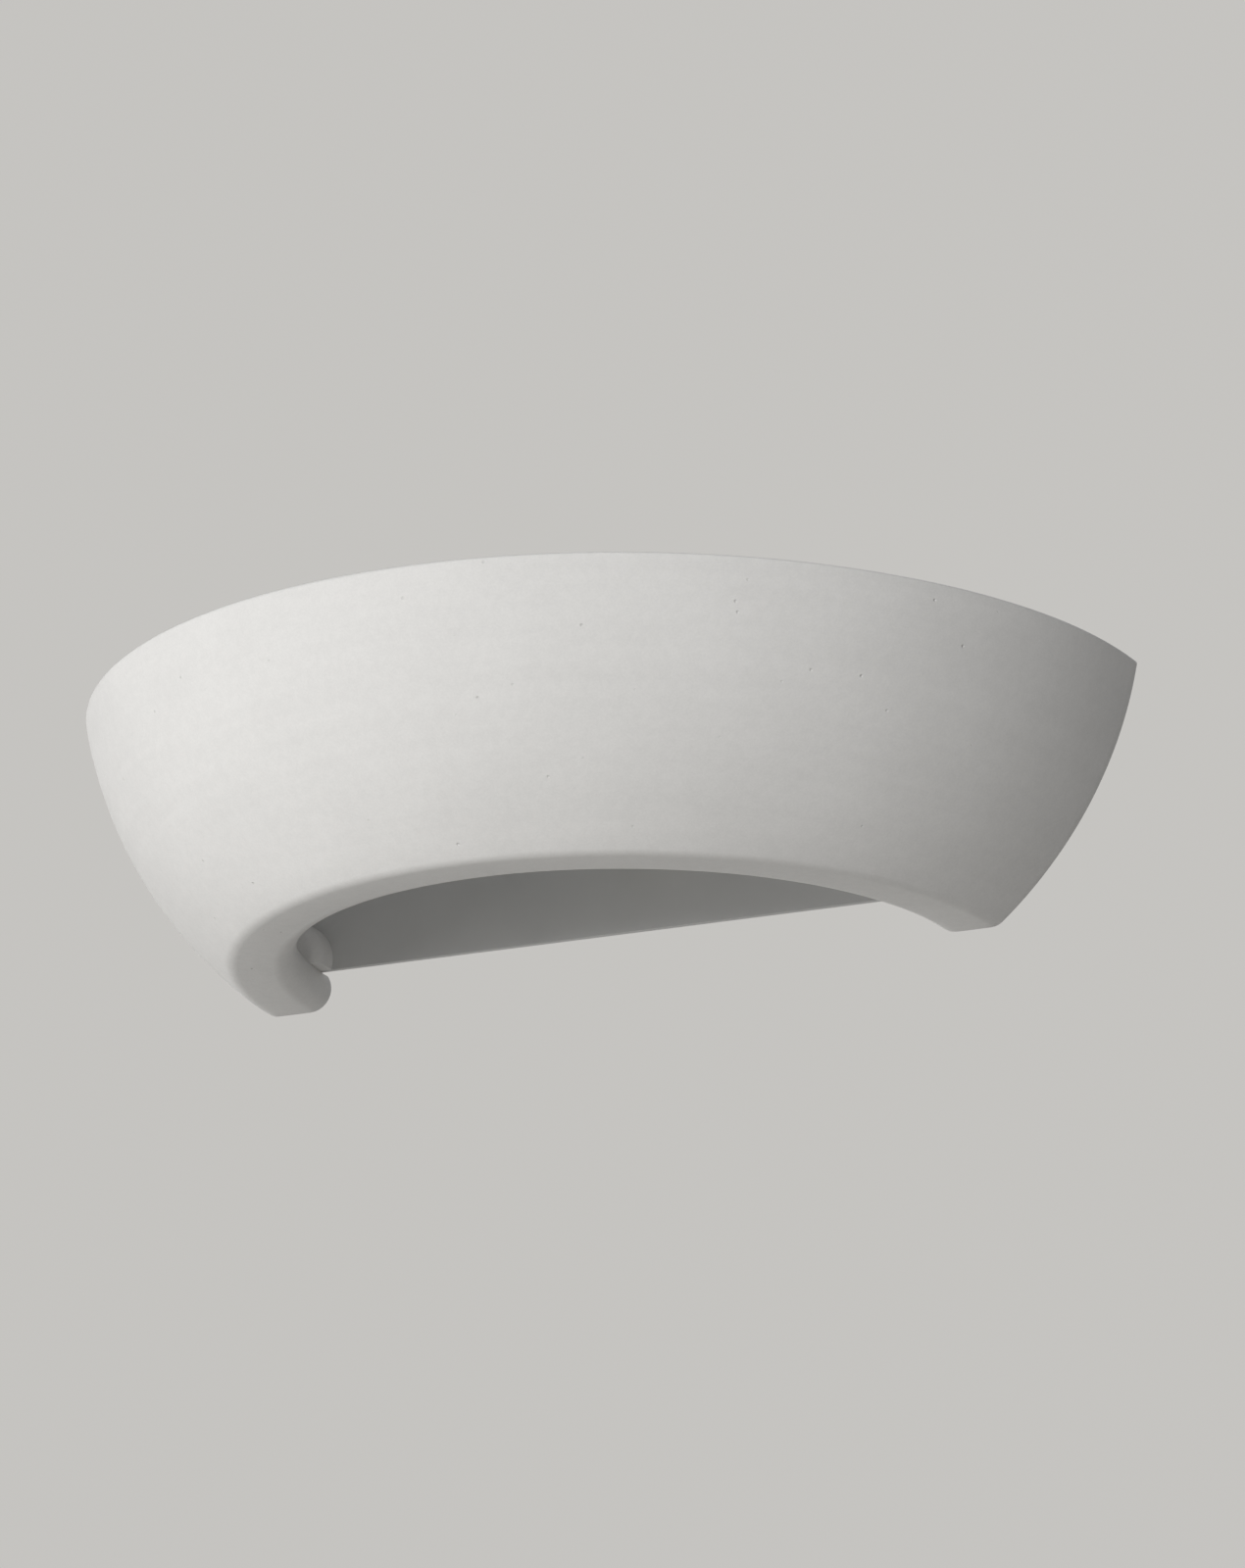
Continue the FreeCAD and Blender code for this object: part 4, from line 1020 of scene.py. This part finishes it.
fat = GROMMET_LIP / 2
grommet_section = (
    arc((GROMMET_RADIUS - fat, -fat), fat, -90, 90, 8)
    + [(ENTRY_HOLE, 0), (ENTRY_HOLE, PLATE_SHEET)]
    + arc((GROMMET_RADIUS - fat, PLATE_SHEET + fat), fat, -90, 90, 8)
    + arc((ENTRY_BORE + BORE_ROUND, PLATE_SHEET + GROMMET_LIP - BORE_ROUND), BORE_ROUND, 90, 180, 5)
    + arc((ENTRY_BORE + BORE_ROUND, BORE_ROUND - GROMMET_LIP), BORE_ROUND, 180, 270, 5)
)
grommet = lathe("entry_grommet", grommet_section, steps=96)
aim(grommet, ENTRY_X, back, ENTRY_Z, 90, "X")
dress(smooth(grommet, 40), rubber, "grommet_rubber", "fixture", "cable_grommet")

# %% [markdown]
# ## The lampholder
# A two-part moulded holder: a cap with a rounded shoulder, and a skirt that screws into it. Both have grip
# panels around them, pressed a little into the wall, so that fingers can turn them. The panels are one ring
# of long faces, every other one inset and pushed in.

# %% Holder cap
LAMP_Y = -72.0
ARM_FRONT_X = -62.0
CAP_NECK = 13.0
CAP_LENGTH = 14.0
HOLDER_RADIUS = 20.0
HOLDER_WALL = 2.5
SKIRT_LENGTH = 42.0
NIPPLE_RADIUS = 5.0
PANELS = 36
PANEL_SINK = 0.45
PANEL_RIM = 0.25
CAP_GRIP = (7.4, 12.4)
SKIRT_GRIP = (1.6, 14.8)
CAP_SHOULDER = 4.0


def grip_panels(piece, low, high):
    """Inset every other one of the long faces between two heights, and push it in."""
    def chosen(centre, normal):
        column = math.floor(math.atan2(centre.y, centre.x) / math.tau * 2 * PANELS)
        outer = normal.x * centre.x + normal.y * centre.y > 0
        return low < centre.z < high and outer and column % 2 == 0

    pick_faces(piece, chosen)
    bpy.ops.mesh.inset(thickness=PANEL_RIM * MM, depth=-PANEL_SINK * MM, use_boundary=True, use_individual=True)
    mode("OBJECT")


def on_lamp_axis(piece, x):
    """Lay a piece that was made on the Z axis along the lamp, from a distance to the right."""
    return aim(piece, x, LAMP_Y, 0, 90, "Y")


inner = HOLDER_RADIUS - HOLDER_WALL
rim_step = HOLDER_RADIUS - 0.4
cap_section = (
    [(NIPPLE_RADIUS + 0.05, 0.3), (NIPPLE_RADIUS + 0.35, 0), (CAP_NECK - 1.2, 0)]
    + arc((CAP_NECK - 1.2, 1.0), 1.0, -90, -40, 4)[1:]
    + arc((HOLDER_RADIUS - CAP_SHOULDER, 7.0), CAP_SHOULDER, -48, 0, 8)
    + [(HOLDER_RADIUS, 12.6), (rim_step, 13.0), (rim_step, 13.7), (HOLDER_RADIUS - 0.7, CAP_LENGTH)]
    + [(inner, CAP_LENGTH), (inner, 9.5), (CAP_NECK - HOLDER_WALL, 7), (NIPPLE_RADIUS + 0.05, 7)]
)
cap = lathe("moulded_cap", cap_section, steps=2 * PANELS)
grip_panels(cap, *CAP_GRIP)
on_lamp_axis(cap, ARM_FRONT_X)
dress(smooth(cap, 25), thermoset, "white_holder", "fixture", "holder_cap")

# %% [markdown]
# The skirt carries a second, longer grip, narrows a little, and ends in a bead and a rounded mouth. A
# hexagon locknut behind the bracket holds the cap's brass nipple.

# %% Skirt and locknut
LOCKNUT_FLATS = 14.0
LOCKNUT_HEIGHT = 3.0
MOUTH_ROUND = 0.6

mouth = SKIRT_LENGTH - MOUTH_ROUND
skirt_section = (
    [(inner, 0), (HOLDER_RADIUS - 0.7, 0), (rim_step, 0.3), (rim_step, 1.0)]
    + [(HOLDER_RADIUS, 1.4), (HOLDER_RADIUS, 15.0), (HOLDER_RADIUS - 0.6, 15.8), (HOLDER_RADIUS - 0.8, 36.0)]
    + arc((HOLDER_RADIUS - 1.4, 37.9), 1.4, -40, 45, 8)
    + [(HOLDER_RADIUS - 1.3, mouth)]
    + arc((HOLDER_RADIUS - 1.9, mouth), MOUTH_ROUND, 0, 180, 8)
    + [(inner, SKIRT_LENGTH - 1.4)]
)
skirt = lathe("moulded_skirt", skirt_section, steps=2 * PANELS)
grip_panels(skirt, *SKIRT_GRIP)
on_lamp_axis(skirt, ARM_FRONT_X + CAP_LENGTH)
dress(smooth(skirt, 25), thermoset, "white_holder", "fixture", "holder_skirt")

locknut = chamfered_nut("locknut", LOCKNUT_FLATS, LOCKNUT_HEIGHT, NIPPLE_RADIUS + 0.05)
on_lamp_axis(locknut, ARM_FRONT_X - BRACKET_SHEET - LOCKNUT_HEIGHT)
dress(smooth(locknut, 20), brass, "brass", "fixture", "holder_locknut")

# %% [markdown]
# ### Contact sleeve and lamp cap
# Both threads of an E27 lamp are rolled from thin sheet, so they are smooth waves rather than sharp ridges.
# The sleeve's wave stays outside the cap's, with room to turn.

# %% Rolled threads
ROLLED_PITCH = 3.629
CORE_FACE_X = -36.5
SLEEVE_LENGTH = 26.0
SLEEVE_CREST, SLEEVE_DEPTH, SLEEVE_SHEET = 14.15, 0.5, 0.35


def rolled(name, crest, depth, length):
    """A rolled thread as a thin wavy skin, open at both ends."""
    profile = [
        (crest - depth / 2 + depth / 2 * math.cos(math.tau * i / 10), ROLLED_PITCH * i / 10) for i in range(11)
    ]
    wave = wind(name, profile, ROLLED_PITCH, math.ceil(length / ROLLED_PITCH) + 2, 72)
    for vertex in wave.data.vertices:
        vertex.co.z -= ROLLED_PITCH * MM
    return wave


sleeve = rolled("rolled_sleeve", SLEEVE_CREST, SLEEVE_DEPTH, SLEEVE_LENGTH)
cut_level(sleeve, 0, False, False)
cut_level(sleeve, SLEEVE_LENGTH, True, False)
modify(outwards(sleeve), "SOLIDIFY", thickness=SLEEVE_SHEET * MM, offset=1.0)
on_lamp_axis(sleeve, CORE_FACE_X)
dress(smooth(sleeve, 40), brass, "brass", "fixture", "contact_sleeve")

# %% [markdown]
# The lamp's cap is wound the same way, but closed. A nose narrows its tip towards the black glass, and a
# plain collar joins it to the housing.

# %% Lamp cap
LAMP_CAP_X = -26.2
LAMP_CAP_LENGTH = 20.0
LAMP_CREST, LAMP_DEPTH = 13.15, 1.0
COLLAR_START = 2.5

lamp_thread = rolled("rolled_cap", LAMP_CREST, LAMP_DEPTH, LAMP_CAP_LENGTH)
cut_level(lamp_thread, 0, False, True)
cut_level(lamp_thread, LAMP_CAP_LENGTH - COLLAR_START, True, True)
outwards(lamp_thread)
nose = [(0, -1), (11.0, -1), (11.5, 0), (13.3, 2.2), (13.3, LAMP_CAP_LENGTH), (0, LAMP_CAP_LENGTH)]
overlap(lamp_thread, lathe("nose", nose, steps=72))
collar = [(0, 16.5), (12.6, 16.5), (13.0, 17.3), (13.2, 18.0), (13.2, 19.6)]
collar += [(13.0, LAMP_CAP_LENGTH), (0, LAMP_CAP_LENGTH)]
carve(lamp_thread, lathe("collar", collar, steps=72), "UNION")
on_lamp_axis(lamp_thread, LAMP_CAP_X)
dress(smooth(lamp_thread, 40), nickel, "nickel", "lamp", "lamp_cap")

# %% [markdown]
# ### Lamp housing
# The lamp's white body flares from the cap to the globe in one S-shaped sweep. A fine groove runs around it
# where the globe is pressed in.

# %% Lamp housing
HOUSING_X = -6.2
HOUSING_NECK = 13.6
HOUSING_LENGTH = 33.7
HOUSING_WALL = 1.8
GLOBE_RADIUS = 27.5
GLOBE_OFFSET = 10.5
GLOBE_EDGE = math.sqrt(GLOBE_RADIUS**2 - GLOBE_OFFSET**2)
GROOVE = 0.35


def flare(share):
    """The housing's radius at a share of its length, an S curve."""
    return HOUSING_NECK + (GLOBE_EDGE - HOUSING_NECK) * (1 - math.cos(math.pi * share)) / 2


outside = [(flare(i / 40), HOUSING_LENGTH * i / 40) for i in range(38)]
outside[0] = (HOUSING_NECK - 0.3, 0)
outside.insert(1, (HOUSING_NECK, 0.3))
top = HOUSING_LENGTH
outside += [
    (GLOBE_EDGE - 0.02, top - 2.0), (GLOBE_EDGE - GROOVE, top - 1.75), (GLOBE_EDGE - GROOVE, top - 1.5),
    (GLOBE_EDGE, top - 1.25), (GLOBE_EDGE, top),
]
seat = GLOBE_EDGE - HOUSING_WALL
inside = [(seat, top), (seat, top - 1.6), (seat - 2.7, top - 1.6)]
inside += [(flare(i / 40) - HOUSING_WALL, HOUSING_LENGTH * i / 40) for i in range(32, -1, -2)]
housing = lathe("flared_housing", outside + inside, steps=128)
on_lamp_axis(housing, HOUSING_X)
dress(smooth(housing, 25), white_housing, "white_housing", "lamp", "lamp_housing")

# %% [markdown]
# ## Terminal block
# Three poles in one nylon moulding. Deep notches part the poles, each pole has a brass tube right through
# it, and the clamp screws sit in funnels in front. One block is cut and shaped like a mould would make it.

# %% Terminal block
BLOCK_LEFT, BLOCK_RIGHT = 10.0, 26.0
BLOCK_DEPTH = 14.0
BLOCK_LOW = -12.0
POLE_PITCH = 10.0
NOTCH = 1.4
NOTCH_DEPTH = 4.0

pole_y = PLATE_FRONT - BLOCK_DEPTH / 2
pole_heights = [BLOCK_LOW + POLE_PITCH * (i + 0.5) for i in range(3)]
partings = [BLOCK_LOW + POLE_PITCH, BLOCK_LOW + 2 * POLE_PITCH]
block = cornered("three_pole_block", lambda x, y, z: (
    (BLOCK_RIGHT if x > 0 else BLOCK_LEFT) * MM,
    (PLATE_FRONT if y > 0 else PLATE_FRONT - BLOCK_DEPTH) * MM,
    (BLOCK_LOW + 3 * POLE_PITCH if z > 0 else BLOCK_LOW) * MM,
))
for z in partings:
    for edge in (z - NOTCH / 2, z + NOTCH / 2):
        pick(block, lambda place: True)
        bpy.ops.mesh.bisect(plane_co=(0, 0, edge * MM), plane_no=(0, 0, 1))
        mode("OBJECT")
pick_faces(
    block,
    lambda centre, normal: normal.y < -0.9 and any(abs(centre.z - z) < NOTCH / 2 for z in partings),
)
bpy.ops.mesh.extrude_region_move(TRANSFORM_OT_translate={"value": (0, NOTCH_DEPTH * MM, 0)})
bpy.ops.mesh.select_all(action="SELECT")
bpy.ops.mesh.remove_doubles(threshold=1e-6)
mode("OBJECT")
print("block faces", len(block.data.polygons))

# %% [markdown]
# Each bore opens like a funnel at both ends, so that a wire finds its way in. A pole has two clamp holes,
# and the seat for the block's own screw is sunk between the first two poles.

# %% Bores and seats
POLE_RADIUS = 2.4
CLAMP_RADIUS = 1.5
PLAY = 0.05
HEAD_SEAT = 3.05
HEAD_SINK = 3.5
FIXING_RADIUS = 1.5

bore_section = [(0, -1), (3.6, -1), (3.1, 0), (POLE_RADIUS, 1)]
bore_section += [(radius, 16 - along) for radius, along in reversed(bore_section)]
for z in pole_heights:
    carve(block, aim(lathe("bore", bore_section, steps=40), BLOCK_LEFT, pole_y, z, 90, "Y"))
clamp_hole = [(0, 0), (CLAMP_RADIUS + PLAY, 0), (CLAMP_RADIUS + PLAY, 6.2), (2.3, 7.0), (2.3, 8), (0, 8)]
clamp_places = [(x, pole_y, z) for x in (BLOCK_LEFT + 4, BLOCK_RIGHT - 4) for z in pole_heights]
for x, y, z in clamp_places:
    carve(block, aim(lathe("clamp_hole", clamp_hole, steps=32), x, y, z, 90, "X"))
fixing_x, fixing_z = (BLOCK_LEFT + BLOCK_RIGHT) / 2, partings[0]
seat_level = BLOCK_DEPTH - HEAD_SINK
seat_section = [(0, -1), (FIXING_RADIUS + PLAY, -1), (FIXING_RADIUS + PLAY, seat_level)]
seat_section += [(HEAD_SEAT, seat_level), (HEAD_SEAT, BLOCK_DEPTH + 1), (0, BLOCK_DEPTH + 1)]
carve(block, aim(lathe("fixing_seat", seat_section, steps=40), fixing_x, PLATE_FRONT, fixing_z, 90, "X"))
bevel(block, 0.3, 2, 70)
dress(smooth(block, 30), nylon, "nylon", "fixture", "terminal_block")

# %% [markdown]
# The clamp screws are small headless ones with a slot. Each stops at another angle, as screws that someone
# has tightened do.

# %% Clamp screws
CLAMP_LENGTH = 6.0
CLAMP_TURN = 37
SLOT_ACROSS, SLOT_SUNK = 0.45, 0.8

clamp_section = [(0, 0), (1.2, 0), (CLAMP_RADIUS, 0.3), (CLAMP_RADIUS, 5.8)]
clamp_section += [(1.3, CLAMP_LENGTH), (0, CLAMP_LENGTH)]
clamp = lathe("clamp_screw", clamp_section, steps=32)
carve(clamp, cornered("slot_cut", lambda x, y, z: (
    6 * x * MM, SLOT_ACROSS / 2 * y * MM, (CLAMP_LENGTH + (1 if z > 0 else -SLOT_SUNK)) * MM,
)))
for copy in copies(smooth(clamp), clamp_places, 90, "X", spin=CLAMP_TURN):
    dress(copy, zinc, "zinc_steel", "fixture", "terminal_screws")

# %% [markdown]
# One pan-head screw holds the block. It is driven from the front, so its rod is turned round before the
# head is joined to it, and its point shows behind the plate.

# %% The block's screw
FIXING_HEAD = 2.8
FIXING_LENGTH = 15.0
FIXING_TAIL = 2.5
FIXING_DEPTH, FIXING_PITCH = 0.27, 0.5
FIXING_TOP = FIXING_LENGTH + 1.5

fixing = threaded_rod(
    "block_fixing", FIXING_RADIUS - 0.01, FIXING_DEPTH, FIXING_PITCH, FIXING_LENGTH + 0.5, 0.3
)
for vertex in fixing.data.vertices:
    vertex.co.z = FIXING_LENGTH * MM - vertex.co.z
outwards(fixing)
pan = [(0, FIXING_LENGTH), (FIXING_HEAD - 0.1, FIXING_LENGTH), (FIXING_HEAD, FIXING_LENGTH + 0.1)]
pan += arc((FIXING_HEAD - 1.0, FIXING_TOP - 1.0), 1.0, 0, 90, 6) + [(0, FIXING_TOP)]
carve(fixing, lathe("head", pan, steps=40), "UNION")
recess = cross_recess(2.6, 1.1)
for vertex in recess.data.vertices:
    vertex.co.z += FIXING_TOP * MM
carve(fixing, recess)
aim(fixing, fixing_x, back + FIXING_TAIL, fixing_z, 90, "X")
dress(smooth(fixing, 35), zinc, "zinc_steel", "fixture", "block_screw")

# %% [markdown]
# ### Small pieces of the lamp and holder
# The lamp's foot contact is a drop of solder on black glass. The sprung contact and the steatite core
# behind it get eased edges.

# %% Contact, glass and core
BUTTON_X = -32.2
GLASS_X = -30.7

button = lathe("solder_button", [(0, 0), (2.4, 0.08), (3.8, 0.4), (4.6, 0.95), (4.8, 1.5), (0, 1.5)], steps=64)
dress(smooth(on_lamp_axis(button, BUTTON_X), 40), solder, "solder", "lamp", "lamp_contact")
glass_section = [
    (0, 0), (4.8, 0), (5.3, 0.5), (6.6, 1.5), (8.4, 2.5), (10.2, 3.3), (11.2, 3.9), (11.5, 4.5), (0, 4.5),
]
glass = lathe("cap_glass", glass_section, steps=64)
dress(smooth(on_lamp_axis(glass, GLASS_X), 40), black_glass, "black_glass", "lamp", "lamp_insulator")
dress(eased("centre_contact", 0.12), brass, "brass", "fixture", "centre_contact")
dress(eased("holder_core", 0.35), steatite, "steatite", "fixture", "holder_core")

# %% [markdown]
# ## Pieces that keep their CAD shape
# These have the right shape already. They only get their finish.

# %% Finishes on CAD pieces
kept = [
    (brass, "shell_inserts", "holder_nipple", "holder_terminals", "terminal_tubes"),
    (opal, "lamp_globe"),
    (board, "led_board"),
    (phosphor, "led_chips"),
    (brown_skin, "wire_live"),
    (blue_skin, "wire_neutral"),
    (striped, "wire_earth"),
]
for material, *kept_nodes in kept:
    for node in kept_nodes:
        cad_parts[node].material_slots[0].material = material
print("kept", sum(len(row) - 1 for row in kept), "CAD pieces")
